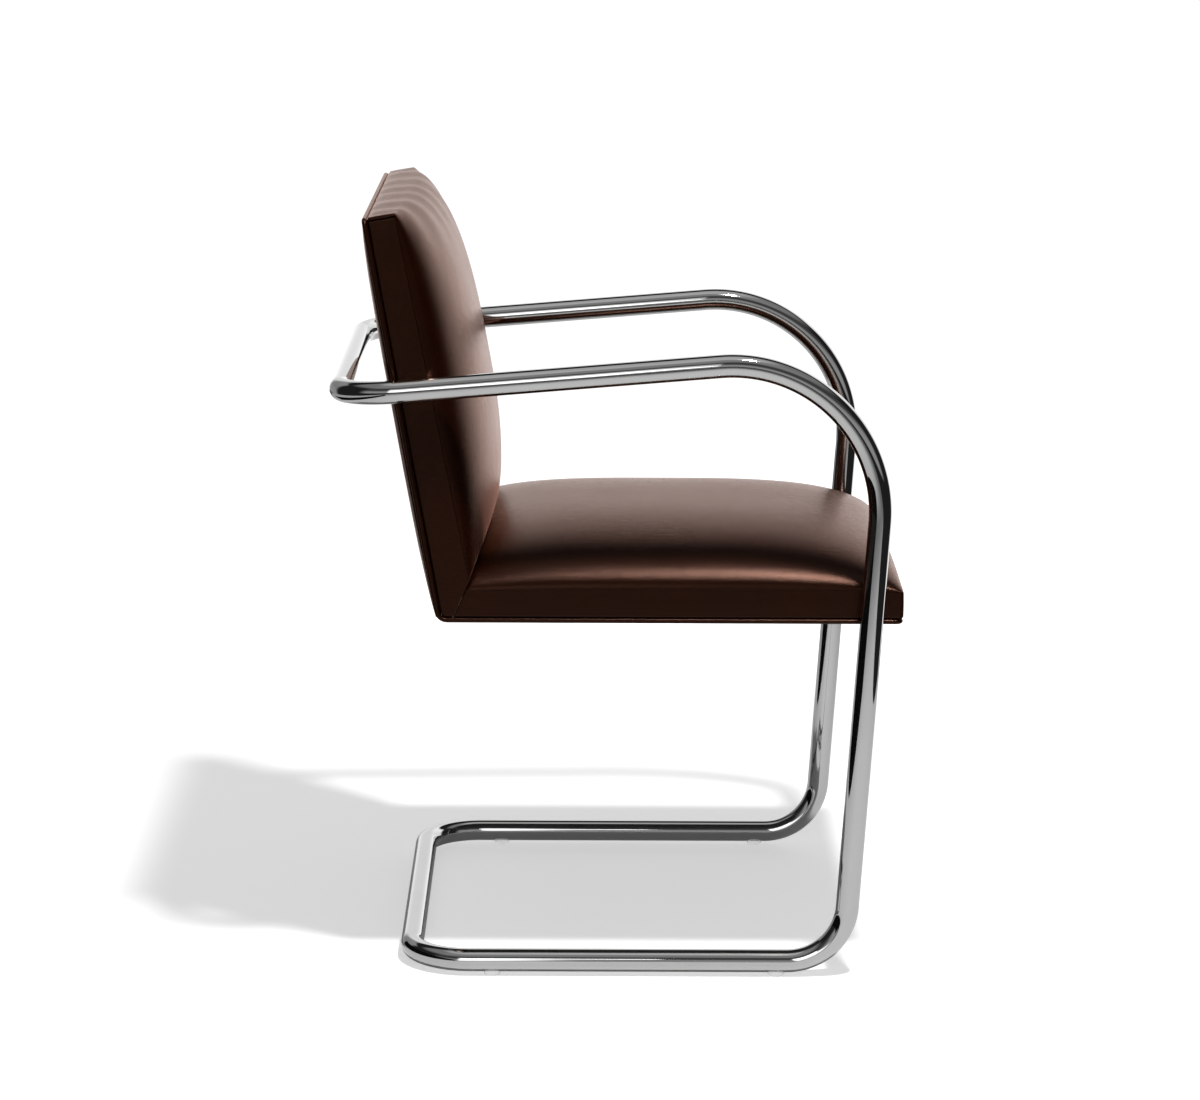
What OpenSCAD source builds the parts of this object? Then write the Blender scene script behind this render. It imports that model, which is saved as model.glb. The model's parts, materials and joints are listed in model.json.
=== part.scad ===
// Cantilever lounge chair: one loop of bent steel tube carries an upholstered L of seat and back.
// Sizes are millimetres. The chair faces -Y, +Z is up, and the origin is on the floor,
// under the middle of the chair. The chair's own modules are drawn facing +X first.

/* [Tube frame] */
// Outside diameter of the steel tube
tube_od = 25; // [22:0.5:30]
// Wall thickness of the steel tube
tube_wall = 2.5; // [1.5:0.25:3.5]
// Distance between the centrelines of the two side tubes
frame_w = 530; // [480:5:600]
// Height of the arm's centreline at the rear arm bar
arm_h = 632; // [590:2:690]
// Rise of the arm towards the front, in degrees
arm_rise = 4.8; // [2:0.2:8]
// Distance from the rear floor bar to the foot of the leg, along the floor
foot_x = 469; // [440:1:500]
// Forward lean of the leg, in degrees
leg_lean = 3.7; // [1:0.1:6]
// Distance of the rear arm bar behind the rear floor bar
arm_back = 74; // [64:1:100]
// Centreline radius of the bend from arm to leg
arm_bend_r = 158; // [130:1:180]
// Centreline radius of the floor bends and the rear corner bends
corner_bend_r = 65; // [50:1:72]
// Straight length of side tube past each rear corner, up to the butt joint
joint_tail = 35; // [20:1:60]
// Height of the glides under the runners
glide_h = 3; // [2:0.5:6]
// Diameter of a glide
glide_d = 18; // [14:1:22]

/* [Seat] */
// Height of the seat's bottom seam above the floor
seat_base_h = 390; // [350:5:430]
// Distance from the rear floor bar to the seat's front face
seat_front = 529; // [515:1:560]
// Gap between a side tube and the upholstery
side_gap = 7.5; // [5:0.5:14]
// Height of the side panel in the middle of the seat
seat_side_h = 32; // [30:1:44]
// Height of the side panel at the seat's corners
seat_corner_h = 28; // [26:1:30]
// Height of the seat's crown above the bottom seam
seat_crown_h = 90; // [70:1:110]

/* [Back] */
// Lean of the back, in degrees
back_lean = 10.2; // [6:0.2:15]
// Length of the back from the bottom seam to its top
back_len = 435; // [400:5:480]
// Distance of the back's rear seam, at its foot, in front of the rear floor bar
back_foot_x = 33.6; // [28:0.2:44]
// Depth of the back's side panel at the top
back_top_d = 30; // [27:1:38]
// Depth of the back's side panel at the foot
back_foot_d = 38; // [34:1:46]
// Depth of the back at its crown
back_crown_d = 88; // [70:1:100]
// Angle of the mitre between seat and back, in degrees
mitre_angle = 66; // [60:1:72]
// Distance of the mitre seam's foot in front of the back's rear seam
mitre_foot = 13; // [10:0.5:18]

/* [Leather and welt] */
// Thickness of the leather
leather_t = 1.5; // [1:0.1:2]
// Diameter of the welt
welt_d = 5.5; // [4:0.5:8]
// Radius of the side panels' rear lower corner
panel_corner_r = 8; // [4:0.5:9]
// Radius of the welt's tight corners
welt_corner_r = 6; // [4:0.5:12]
// Swell of the outer back panel behind the welt
outer_swell = 10; // [4:1:16]

/* [Wooden frame] */
// Thickness of rails and stiles
rail_t = 22; // [20:1:24]
// Width of the side rails and the back stiles
rail_w = 35; // [28:1:45]
// Depth of the front cross rail
front_rail_w = 18; // [16:1:20]
// Width of the other cross rails
cross_rail_w = 40; // [30:1:50]
// Diameter of a dowel
dowel_d = 6; // [5:0.5:8]
// Length of a dowel
dowel_len = 36; // [28:2:44]

/* [Fixings] */
// Diameter of a fixing bolt
bolt_d = 8; // [6:1:8]
// Outside diameter of a spacer
spacer_d = 16; // [14:0.5:18]
// Side of a square backing plate
plate_w = 20; // [17:1:22]
// Thickness of a backing plate
plate_t = 3; // [2:0.5:4]
// Thickness of a corner plate
corner_plate_t = 4; // [3:0.5:6]
// Width of a corner plate's arms
corner_plate_w = 18; // [14:1:20]
// Length of a corner plate's arm from the mitre
corner_plate_len = 70; // [60:2:90]
// Diameter of a plate screw
screw_d = 4; // [3:0.5:5]

/* [Webbing] */
// Width of a webbing strap
web_w = 50; // [40:2:60]
// Thickness of a webbing strap
web_t = 1.6; // [1:0.2:2.4]
// Straps across the seat
seat_webs = 5; // [3:1:5]
// Straps across the back
back_webs = 4; // [3:1:4]

/* [Hidden] */

// Round surfaces
$fn = 64;
// One overrun for every cut
over = 2;
// Clearance between pieces that lie against each other
fit = 0.3;
// A bend is this much thicker than straight tube, and a straight runs this far into it
bend_swell = 0.1;
bend_bite = 0.5;
// Clearance round a bolt, a screw or a dowel in its hole
hole_fit = 0.3;

// Tube frame
tube_r = tube_od / 2;
tube_id = tube_od - 2 * tube_wall;
run_z = glide_h + tube_r;
side_y = frame_w / 2;
bar_len = frame_w - 2 * corner_bend_r - 2 * joint_tail;
// Height at which the arm's line and the leg's line would meet
knee_z = (arm_h + (foot_x + arm_back - run_z * tan(leg_lean)) * tan(arm_rise))
    / (1 - tan(leg_lean) * tan(arm_rise));
knee_x = foot_x + (knee_z - run_z) * tan(leg_lean);
knee_turn = 90 + arm_rise + leg_lean;
foot_turn = 90 - leg_lean;
knee_cut = arm_bend_r * tan(knee_turn / 2);
foot_cut = corner_bend_r * tan(foot_turn / 2);
arm_len = (knee_x + arm_back) / cos(arm_rise) - knee_cut - corner_bend_r;
leg_len = (knee_z - run_z) / cos(leg_lean) - knee_cut - foot_cut;
run_len = foot_x - foot_cut - corner_bend_r;
sleeve_len = 50;
sleeve_wall = 3;
sleeve_fit = 0.15;
insert_len = 16;
insert_fit = 0.1;
// Places of the glides, as shares of the way from the rear floor bar to the leg's foot
glide_shares = [0.19, 0.845];
glide_wrap_share = 0.33;
glide_wrap = tube_r * glide_wrap_share;
glide_pin_d = 6;
glide_pin_len = tube_wall + tube_r / 2;

// Upholstery
half_w = side_y - tube_r - side_gap;
panel_y = half_w - leather_t;
wood_y = panel_y - fit;
rail_in_y = wood_y - rail_w;
foam_inset = leather_t + fit;
foam_base = rail_t + web_t + fit;
corner_x = back_foot_x + mitre_foot;
// The seat's crown is highest this far in front of its middle
crown_lead = 12;
seat_mid_x = (corner_x + seat_front) / 2 + crown_lead;
seat_rear_x = back_foot_x - mitre_foot;
// The back's crown is deepest at this share of its length
back_turn_share = 0.48;
back_turn_b = back_len * back_turn_share;
back_low_b = 2 * mitre_foot;
swell_base = welt_d - fit;
rail_front_x = seat_front - leather_t - fit;
wood_top_b = back_len - leather_t - fit;

// Shape of each crown: how flat it stays and how it falls at its edge
across_crown = [3, 0.55];
seat_edge_front = [6, 0.45];
seat_edge_rear = [2.2, 0.8];
seat_crest_front = [3, 0.45];
seat_crest_rear = [3, 0.55];
back_rise_top = [3, 0.45];
back_rise_low = [2.2, 0.55];
outer_crown_up = [4, 0.5];
outer_crown_across = [5, 0.45];

// Grids of the soft forms
side_steps = 20;
rear_steps = 7;
front_steps = 9;
apron_steps = 3;
solve_steps = 20;
outer_rows = 16;
outer_cols = 14;
panel_corner_steps = 8;

// Fixings
bolt_hole = bolt_d + 2 * hole_fit;
bolt_head_h = 5.5;
bolt_head_d = 14;
bolt_len = side_y - rail_in_y + plate_t + bolt_d / 2;
stile_mid = [back_foot_x + rail_t / 2 * cos(back_lean), seat_base_h + rail_t / 2 * sin(back_lean)];
arm_fix_b = (arm_h + (stile_mid.x + arm_back) * tan(arm_rise) - stile_mid.y)
    / (cos(back_lean) + sin(back_lean) * tan(arm_rise));
arm_fix = [stile_mid.x - arm_fix_b * sin(back_lean), stile_mid.y + arm_fix_b * cos(back_lean)];
leg_fix_z = seat_base_h + rail_t / 2;
leg_fix = [foot_x + (leg_fix_z - run_z) * tan(leg_lean), leg_fix_z];
// Each fixing: its place in the side plane, the tube's angle there and the wood's angle there
fixings = [[arm_fix, arm_rise, back_lean], [leg_fix, 90 - leg_lean, 0]];

// Wooden frame
stile_front_x = back_foot_x + (rail_t + fit) / cos(back_lean);
seat_rear_rail_x = corner_x + corner_plate_len + screw_d;
back_low_rail_b = mitre_foot + corner_plate_len + 2 * screw_d;
front_rail_x = rail_front_x - front_rail_w;
rear_rail_w = rail_t;
top_rail_b = wood_top_b - cross_rail_w;
dowel_hole = dowel_d + hole_fit;
web_margin = 12;
screw_head_d = 2 * screw_d;
screw_head_h = screw_d / 2;
screw_grip_share = 0.6;
screw_len = rail_w * screw_grip_share;
// Distance of a dowel from the middle of its rail, as a share of the rail
dowel_spread_share = 0.25;
// Places of the screws, as shares of a corner plate's arm
screw_shares = [0.45, 0.85];

// Finish
chrome = "#c9ccd0";
leather = "#33190f";
timber = "#c9a26b";
steel = "#8d9196";
foam_tint = "#e8dfae";
cloth = "#3a3734";
clear_plastic = "#d2d4d4";

// The whole chair is drawn facing +X and then turned and centred here.
back_reach = arm_back + tube_r;
centre_x = (seat_front - back_reach) / 2;
module in_place() {
    rotate([0, 0, -90]) translate([-centre_x, 0, 0]) children();
}

// Calls its children for the left side and, mirrored, for the right.
module both_sides() {
    children();
    mirror([0, 1, 0]) children();
}

// Places its children at a point (x, z) of the side plane, with +X turned up by an angle.
module at_side(p, angle) {
    translate([p.x, 0, p.y]) rotate([0, -angle, 0]) children();
}

// Places its children in the back's own frame: X through its depth, Z up along it.
module at_back(b = 0, d = 0) {
    at_side([back_foot_x, seat_base_h], back_lean) translate([d, 0, b]) children();
}

// A point of the back, from its length b, its width y and its depth d
function back_point(b, y, d) = [
    back_foot_x - b * sin(back_lean) + d * cos(back_lean),
    y,
    seat_base_h + b * cos(back_lean) + d * sin(back_lean)
];

// Tube frame pieces, each given its diameter so that bores use the same paths

// A straight tube along +X
module rod(len, d) {
    rotate([0, 90, 0]) cylinder(d = d, h = len);
}

// A straight tube along +X whose ends run into the bends before and after it
module straight(len, d, before = bend_bite, after = bend_bite) {
    translate([-before, 0, 0]) rod(before + len + after, d);
}

// A bend in the XY plane about the origin
module bend(radius, start, turn, d) {
    rotate([0, 0, start]) rotate_extrude(angle = turn) translate([radius, 0]) circle(d = d + bend_swell);
}

// The rounded corner at the rear of a side tube, and the straight tail up to the butt joint
module tail_corner(d, reach) {
    translate([corner_bend_r, side_y - corner_bend_r, 0]) bend(corner_bend_r, 90, 90, d);
    translate([0, side_y - corner_bend_r, 0]) rotate([0, 0, -90])
        straight(joint_tail + reach, d, after = 0);
}

// One side tube, from the rear arm bar round to the rear floor bar
module side_path(d, reach = 0) {
    knee_in = [knee_x - knee_cut * cos(arm_rise), knee_z - knee_cut * sin(arm_rise)];
    foot_in = [foot_x + foot_cut * sin(leg_lean), run_z + foot_cut * cos(leg_lean)];
    at_side([-arm_back, arm_h], arm_rise) {
        tail_corner(d, reach);
        translate([corner_bend_r, side_y, 0]) straight(arm_len, d);
    }
    at_side(knee_in, arm_rise) translate([0, side_y, -arm_bend_r])
        rotate([90, 0, 0]) bend(arm_bend_r, 90 - knee_turn, knee_turn, d);
    at_side(foot_in, 90 - leg_lean) translate([0, side_y, 0]) straight(leg_len, d);
    translate([foot_x - foot_cut, side_y, run_z + corner_bend_r])
        rotate([90, 0, 0]) bend(corner_bend_r, -90, foot_turn, d);
    translate([0, 0, run_z]) {
        tail_corner(d, reach);
        translate([corner_bend_r, side_y, 0]) straight(run_len, d);
    }
}

// Holes for the fixing bolts, from the inner side to the middle of the tube
module fixing_holes(d, from_y, to_y) {
    for (f = fixings) at_side(f[0], 0)
        translate([0, from_y, 0]) rotate([-90, 0, 0]) cylinder(d = d, h = to_y - from_y);
}

module side_tube() {
    difference() {
        side_path(tube_od);
        side_path(tube_id, over);
        fixing_holes(bolt_hole, half_w, side_y);
        for (s = glide_shares) translate([s * foot_x, side_y, glide_h - over])
            cylinder(d = glide_pin_d + 2 * hole_fit, h = tube_r + over);
    }
}

module side_tube_left() {
    color(chrome) in_place() side_tube();
}

module side_tube_right() {
    color(chrome) in_place() mirror([0, 1, 0]) side_tube();
}

// A straight bar between the two butt joints
module rear_bar() {
    translate([0, -bar_len / 2, 0]) rotate([-90, 0, 0]) difference() {
        cylinder(d = tube_od, h = bar_len);
        translate([0, 0, -over]) cylinder(d = tube_id, h = bar_len + 2 * over);
    }
}

module rear_arm_bar() {
    color(chrome) in_place() translate([-arm_back, 0, arm_h]) rear_bar();
}

module rear_floor_bar() {
    color(chrome) in_place() translate([0, 0, run_z]) rear_bar();
}

module joint_sleeves() {
    sleeve_d = tube_id - 2 * sleeve_fit;
    color(steel) in_place() both_sides() for (p = [[-arm_back, arm_h], [0, run_z]])
        translate([p.x, bar_len / 2 - sleeve_len / 2, p.y]) rotate([-90, 0, 0]) difference() {
            cylinder(d = sleeve_d, h = sleeve_len);
            translate([0, 0, -over]) cylinder(d = sleeve_d - 2 * sleeve_wall, h = sleeve_len + 2 * over);
        }
}

// Threaded plugs inside the arm and the leg, at the fixings
module tube_inserts() {
    color(steel) in_place() both_sides() difference() {
        intersection() {
            side_path(tube_id - 2 * insert_fit - bend_swell);
            for (f = fixings) at_side(f[0], f[1]) translate([-insert_len / 2, half_w, -tube_od])
                cube([insert_len, side_y + tube_od - half_w, 2 * tube_od]);
        }
        fixing_holes(bolt_d + 2 * insert_fit, half_w, side_y + tube_od);
    }
}

// Low clear pads under the runners, saddled to the tube, each with a pin up into it
module floor_glides() {
    color(clear_plastic) in_place() both_sides() for (s = glide_shares) translate([s * foot_x, side_y, 0]) {
        difference() {
            cylinder(d = glide_d, h = glide_h + glide_wrap);
            translate([-glide_d, 0, run_z]) rod(2 * glide_d, tube_od);
        }
        cylinder(d = glide_pin_d, h = glide_h + glide_pin_len);
    }
}

// Collars between the wooden frame and the tubes, saddled to the tubes
module spacers() {
    color(steel) in_place() both_sides() difference() {
        for (f = fixings) at_side(f[0], 0) translate([0, wood_y, 0]) rotate([-90, 0, 0])
            cylinder(d = spacer_d, h = side_y - wood_y);
        side_path(tube_od);
        fixing_holes(bolt_hole, wood_y - over, side_y);
    }
}

module fixing_bolts() {
    head_y = rail_in_y - plate_t;
    color(steel) in_place() both_sides() for (f = fixings) at_side(f[0], 0)
        translate([0, head_y, 0]) rotate([-90, 0, 0]) {
            translate([0, 0, -bolt_head_h]) cylinder(d = bolt_head_d, h = bolt_head_h, $fn = 6);
            cylinder(d = bolt_d, h = bolt_len);
        }
}

module backing_plates() {
    color(steel) in_place() both_sides() difference() {
        for (f = fixings) at_side(f[0], f[2])
            translate([-plate_w / 2, rail_in_y - plate_t, -plate_w / 2]) cube([plate_w, plate_t, plate_w]);
        fixing_holes(bolt_hole, rail_in_y - plate_t - over, rail_in_y + over);
    }
}

// Wooden frame

// A flat outline of the side plane (x, z), thick from one y to another
module side_slab(points, from_y, to_y) {
    translate([0, to_y, 0]) rotate([90, 0, 0]) linear_extrude(to_y - from_y) polygon(points);
}

function flat(p) = [p.x, p.z];

// Dowels of the four cross rails, on the left side
module dowels(d, len) {
    start_y = rail_in_y - len / 2;
    seat_spread = rail_t * dowel_spread_share;
    back_spread = cross_rail_w * dowel_spread_share;
    for (x = [front_rail_x + front_rail_w / 2, seat_rear_rail_x + rear_rail_w / 2], s = [-1, 1])
        translate([x, start_y, seat_base_h + rail_t / 2 + s * seat_spread])
            rotate([-90, 0, 0]) cylinder(d = d, h = len);
    for (b = [back_low_rail_b, top_rail_b], s = [-1, 1])
        at_back(b + cross_rail_w / 2 + s * back_spread, rail_t / 2)
            translate([0, start_y, 0]) rotate([-90, 0, 0]) cylinder(d = d, h = len);
}

// Screw holes or screws of one corner plate, on the left side
module plate_screw_set(d, len, start_y) {
    for (s = screw_shares) {
        translate([corner_x + s * corner_plate_len, start_y, seat_base_h + rail_t / 2])
            rotate([-90, 0, 0]) cylinder(d = d, h = len);
        at_back(mitre_foot + s * corner_plate_len, rail_t / 2) translate([0, start_y, 0])
            rotate([-90, 0, 0]) cylinder(d = d, h = len);
    }
}

module seat_side_rails() {
    rail_top = [stile_front_x - rail_t * tan(back_lean), seat_base_h + rail_t];
    color(timber) in_place() both_sides() difference() {
        side_slab([
            [stile_front_x, seat_base_h], [rail_front_x, seat_base_h],
            [rail_front_x, seat_base_h + rail_t], rail_top
        ], rail_in_y, wood_y);
        fixing_holes(bolt_hole, rail_in_y - over, wood_y + over);
        dowels(dowel_hole, dowel_len + 2 * hole_fit);
        plate_screw_set(screw_d + hole_fit, screw_len + over, rail_in_y - over);
    }
}

module seat_cross_rails() {
    color(timber) in_place() difference() {
        for (r = [[front_rail_x, front_rail_w], [seat_rear_rail_x, rear_rail_w]])
            translate([r[0], -rail_in_y, seat_base_h]) cube([r[1], 2 * rail_in_y, rail_t]);
        both_sides() dowels(dowel_hole, dowel_len + 2 * hole_fit);
    }
}

module back_stiles() {
    foot_front_x = back_foot_x + rail_t / cos(back_lean);
    color(timber) in_place() both_sides() difference() {
        side_slab([
            [back_foot_x, seat_base_h], [foot_front_x, seat_base_h],
            flat(back_point(wood_top_b, 0, rail_t)), flat(back_point(wood_top_b, 0, 0))
        ], rail_in_y, wood_y);
        fixing_holes(bolt_hole, rail_in_y - over, wood_y + over);
        dowels(dowel_hole, dowel_len + 2 * hole_fit);
        plate_screw_set(screw_d + hole_fit, screw_len + over, rail_in_y - over);
        stile_corner_cut();
    }
}

// Rounds the stile's foot so that it stays inside the side panel's rounded corner
module stile_corner_cut() {
    cut = panel_corner_r;
    side_slab([
        [back_foot_x - over, seat_base_h - over], [back_foot_x + cut, seat_base_h - over],
        [back_foot_x + cut, seat_base_h], flat(back_point(cut, 0, 0)), flat(back_point(cut, 0, -over))
    ], rail_in_y - over, wood_y + over);
}

module back_cross_rails() {
    color(timber) in_place() difference() {
        for (b = [back_low_rail_b, top_rail_b]) at_back(b, 0)
            translate([0, -rail_in_y, 0]) cube([rail_t, 2 * rail_in_y, cross_rail_w]);
        both_sides() dowels(dowel_hole, dowel_len + 2 * hole_fit);
    }
}

module frame_dowels() {
    color(timber) in_place() both_sides() dowels(dowel_d, dowel_len);
}

// L-shaped plates on the inner faces of rails and stiles
module corner_plates() {
    low = (rail_t - corner_plate_w) / 2;
    high = low + corner_plate_w;
    inner_x = back_foot_x + high / cos(back_lean) - high * tan(back_lean);
    outer_x = back_foot_x + low / cos(back_lean) - low * tan(back_lean);
    reach_x = corner_x + corner_plate_len;
    reach_b = mitre_foot + corner_plate_len;
    color(steel) in_place() both_sides() difference() {
        side_slab([
            [outer_x, seat_base_h + low], [reach_x, seat_base_h + low], [reach_x, seat_base_h + high],
            [inner_x, seat_base_h + high], flat(back_point(reach_b, 0, high)),
            flat(back_point(reach_b, 0, low))
        ], rail_in_y - corner_plate_t, rail_in_y);
        plate_screw_set(screw_d + hole_fit, corner_plate_t + 2 * over, rail_in_y - corner_plate_t - over);
    }
}

module plate_screws() {
    head_y = rail_in_y - corner_plate_t;
    color(steel) in_place() both_sides() {
        plate_screw_set(screw_d, corner_plate_t + screw_len, head_y);
        plate_screw_set(screw_head_d, screw_head_h, head_y - screw_head_h);
    }
}

// Straps across the seat, on the side rails
module seat_webbing() {
    from_x = seat_rear_rail_x + web_margin;
    step = (front_rail_x - 2 * web_margin - web_w - from_x) / (seat_webs - 1);
    color(cloth) in_place() for (i = [0:seat_webs - 1])
        translate([from_x + i * step, -wood_y, seat_base_h + rail_t]) cube([web_w, 2 * wood_y, web_t]);
}

// Straps across the back, on the stiles
module back_webbing() {
    from_b = back_low_rail_b + web_margin;
    step = (top_rail_b - web_margin - web_w - from_b) / (back_webs - 1);
    color(cloth) in_place() for (i = [0:back_webs - 1]) at_back(from_b + i * step, rail_t)
        translate([0, -wood_y, 0]) cube([web_t, 2 * wood_y, web_w]);
}

// Soft forms: each surface is a grid of points worked out from the same crown

// Falls from 1 in the middle to 0 at the edge, from its shape and the share of the way there
function crown(share, shape) = pow(max(0, 1 - pow(min(1, abs(share)), shape[0])), shape[1]);

function across(y, inset) = crown(y / (half_w - inset), across_crown);

// Heights of the seat above its bottom seam, at its side edge and along its middle
function seat_edge(x, inset) = seat_corner_h + (seat_side_h - seat_corner_h) * (x > seat_mid_x
    ? crown((x - seat_mid_x) / (seat_front - inset - seat_mid_x), seat_edge_front)
    : crown((seat_mid_x - x) / (seat_mid_x - seat_rear_x), seat_edge_rear));
function seat_crest(x, inset) = seat_corner_h + (seat_crown_h - inset - seat_corner_h) * (x > seat_mid_x
    ? crown((x - seat_mid_x) / (seat_front - inset - seat_mid_x), seat_crest_front)
    : crown((seat_mid_x - x) / (seat_mid_x - seat_rear_x), seat_crest_rear));
function seat_height(x, y, inset) =
    seat_edge(x, inset) + (seat_crest(x, inset) - seat_edge(x, inset)) * across(y, inset);
function seat_point(x, y, inset) = [x, y, seat_base_h + seat_height(x, y, inset)];

// Depths of the back at its side edge, at its crown and anywhere
function back_edge(b) = back_foot_d + (back_top_d - back_foot_d) * b / back_len;
function back_rise(b, inset) = b > back_turn_b
    ? crown((b - back_turn_b) / (back_len - inset - back_turn_b), back_rise_top)
    : crown((back_turn_b - b) / (back_turn_b - back_low_b), back_rise_low);
function back_depth(b, y, inset) =
    back_edge(b) + (back_crown_d - inset - back_edge(b)) * back_rise(b, inset) * across(y, inset);
function back_skin(b, y, inset) = back_point(b, y, back_depth(b, y, inset));

// Distance of a point in front of the mitre plane between seat and back
function past_mitre(p) =
    (p.x - corner_x) * sin(mitre_angle) - (p.z - seat_base_h) * cos(mitre_angle);

// Where the seat's top and the back's front meet the mitre, found by halving
function seat_start(y, inset, low, high, n) = n == 0 ? (low + high) / 2 :
    let (mid = (low + high) / 2)
    past_mitre(seat_point(mid, y, inset)) > fit / 2
        ? seat_start(y, inset, low, mid, n - 1)
        : seat_start(y, inset, mid, high, n - 1);
function back_start(y, inset, low, high, n) = n == 0 ? (low + high) / 2 :
    let (mid = (low + high) / 2)
    past_mitre(back_skin(mid, y, inset)) < -fit / 2
        ? back_start(y, inset, low, mid, n - 1)
        : back_start(y, inset, mid, high, n - 1);

// Columns of a grid, closer together towards the side edges
function column_y(j, inset) = (half_w - inset) * sin(180 * j / side_steps - 90);

// Rows of the seat: from the mitre to the middle, then closing up towards the front
function seat_row_x(i, start, inset) = i <= rear_steps
    ? start + (seat_mid_x - start) * i / rear_steps
    : seat_mid_x + (seat_front - inset - seat_mid_x) * sin(90 * (i - rear_steps) / front_steps);
function seat_skin(inset) = [
    for (i = [0:rear_steps + front_steps]) [
        for (j = [0:side_steps])
            let (y = column_y(j, inset),
                 start = seat_start(y, inset, corner_x, seat_mid_x, solve_steps))
            seat_point(seat_row_x(i, start, inset), y, inset)
    ]
];

// Rows of the back: from the mitre to the middle, then closing up towards the top
function back_row_b(i, start, inset) = i <= rear_steps
    ? start + (back_turn_b - start) * i / rear_steps
    : back_turn_b + (back_len - inset - back_turn_b) * sin(90 * (i - rear_steps) / front_steps);
function back_skin_grid(inset) = [
    for (i = [0:rear_steps + front_steps]) [
        for (j = [0:side_steps])
            let (y = column_y(j, inset),
                 start = back_start(y, inset, 0, back_turn_b, solve_steps))
            back_skin(back_row_b(i, start, inset), y, inset)
    ]
];

// The seat's leather runs down over the front face, the back's runs over the top
function seat_apron(inset) = [
    for (i = [1:apron_steps]) [
        for (j = [0:side_steps])
            [seat_front - inset, column_y(j, inset), seat_base_h + seat_corner_h * (1 - i / apron_steps)]
    ]
];
function back_apron(inset) = [
    for (i = [1:apron_steps]) [
        for (j = [0:side_steps])
            back_point(back_len - inset, column_y(j, inset),
                back_edge(back_len - inset) * (1 - i / apron_steps))
    ]
];

// A solid between two grids of the same size, closed round its rim
module between(outer, inner) {
    rows = len(outer);
    cols = len(outer[0]);
    count = rows * cols;
    points = concat([for (r = outer) each r], [for (r = inner) each r]);
    function at(i, j) = i * cols + j;
    skin = [
        for (i = [0:rows - 2], j = [0:cols - 2]) each [
            [at(i, j), at(i + 1, j), at(i + 1, j + 1)],
            [at(i, j), at(i + 1, j + 1), at(i, j + 1)]
        ]
    ];
    lining = [for (f = skin) [f[0] + count, f[2] + count, f[1] + count]];
    rim = concat(
        [for (j = [0:cols - 1]) at(0, j)],
        [for (i = [1:rows - 1]) at(i, cols - 1)],
        [for (j = [cols - 2:-1:0]) at(rows - 1, j)],
        [for (i = [rows - 2:-1:1]) at(i, 0)]
    );
    walls = [
        for (k = [0:len(rim) - 1])
            let (a = rim[k], b = rim[(k + 1) % len(rim)])
            each [[a, b, b + count], [a, b + count, a + count]]
    ];
    polyhedron(points, concat(skin, lining, walls));
}

module seat_cover() {
    color(leather) in_place() between(
        concat(seat_skin(0), seat_apron(0)),
        concat(seat_skin(leather_t), seat_apron(leather_t))
    );
}

module back_cover() {
    color(leather) in_place() between(
        concat(back_skin_grid(0), back_apron(0)),
        concat(back_skin_grid(leather_t), back_apron(leather_t))
    );
}

// The foam fills the cover down to the webbing
module seat_foam() {
    top = seat_skin(foam_inset);
    base_z = seat_base_h + foam_base;
    base_start = corner_x + (foam_base * cos(mitre_angle) + fit / 2) / sin(mitre_angle);
    base = [
        for (i = [0:len(top) - 1]) [
            for (j = [0:side_steps])
                [seat_row_x(i, base_start, foam_inset), column_y(j, foam_inset), base_z]
        ]
    ];
    color(foam_tint) in_place() between(top, base);
}

module back_foam() {
    top = back_skin_grid(foam_inset);
    turn = mitre_angle - back_lean;
    base_start = (foam_base * sin(turn) - mitre_foot * sin(mitre_angle) + fit / 2) / cos(turn);
    base = [
        for (i = [0:len(top) - 1]) [
            for (j = [0:side_steps])
                back_point(back_row_b(i, base_start, foam_inset), column_y(j, foam_inset), foam_base)
        ]
    ];
    color(foam_tint) in_place() between(top, base);
}

// Flat leather side panels, with a hole round each spacer
module seat_side_panels() {
    start = seat_start(half_w, 0, corner_x, seat_mid_x, solve_steps);
    step_count = rear_steps + front_steps;
    edge = [
        for (i = [0:step_count])
            let (x = seat_row_x(i, start, leather_t + fit))
            [x, seat_base_h + seat_edge(x, 0) - fit]
    ];
    foot = [corner_x + fit / 2 / sin(mitre_angle), seat_base_h];
    front = [seat_front - leather_t - fit, seat_base_h];
    color(leather) in_place() both_sides() difference() {
        side_slab(concat([foot], edge, [front]), panel_y, half_w);
        fixing_holes(spacer_d + 2 * fit, panel_y - over, half_w + over);
    }
}

module back_side_panels() {
    top_b = back_len - leather_t - fit;
    low_b = back_start(half_w, 0, 0, back_turn_b, solve_steps);
    tangent = panel_corner_r * tan((90 - back_lean) / 2);
    round_x = back_foot_x + tangent;
    round_z = seat_base_h + panel_corner_r;
    corner = [
        for (i = [0:panel_corner_steps])
            let (a = 180 + back_lean + (90 - back_lean) * i / panel_corner_steps)
            [round_x + panel_corner_r * cos(a), round_z + panel_corner_r * sin(a)]
    ];
    color(leather) in_place() both_sides() difference() {
        side_slab(concat(
            [flat(back_point(top_b, 0, 0))], corner,
            [[corner_x - fit / 2 / sin(mitre_angle), seat_base_h]],
            [flat(back_point(low_b, 0, back_edge(low_b) - fit)),
             flat(back_point(top_b, 0, back_edge(top_b) - fit))]
        ), panel_y, half_w);
        fixing_holes(spacer_d + 2 * fit, panel_y - over, half_w + over);
    }
}

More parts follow.
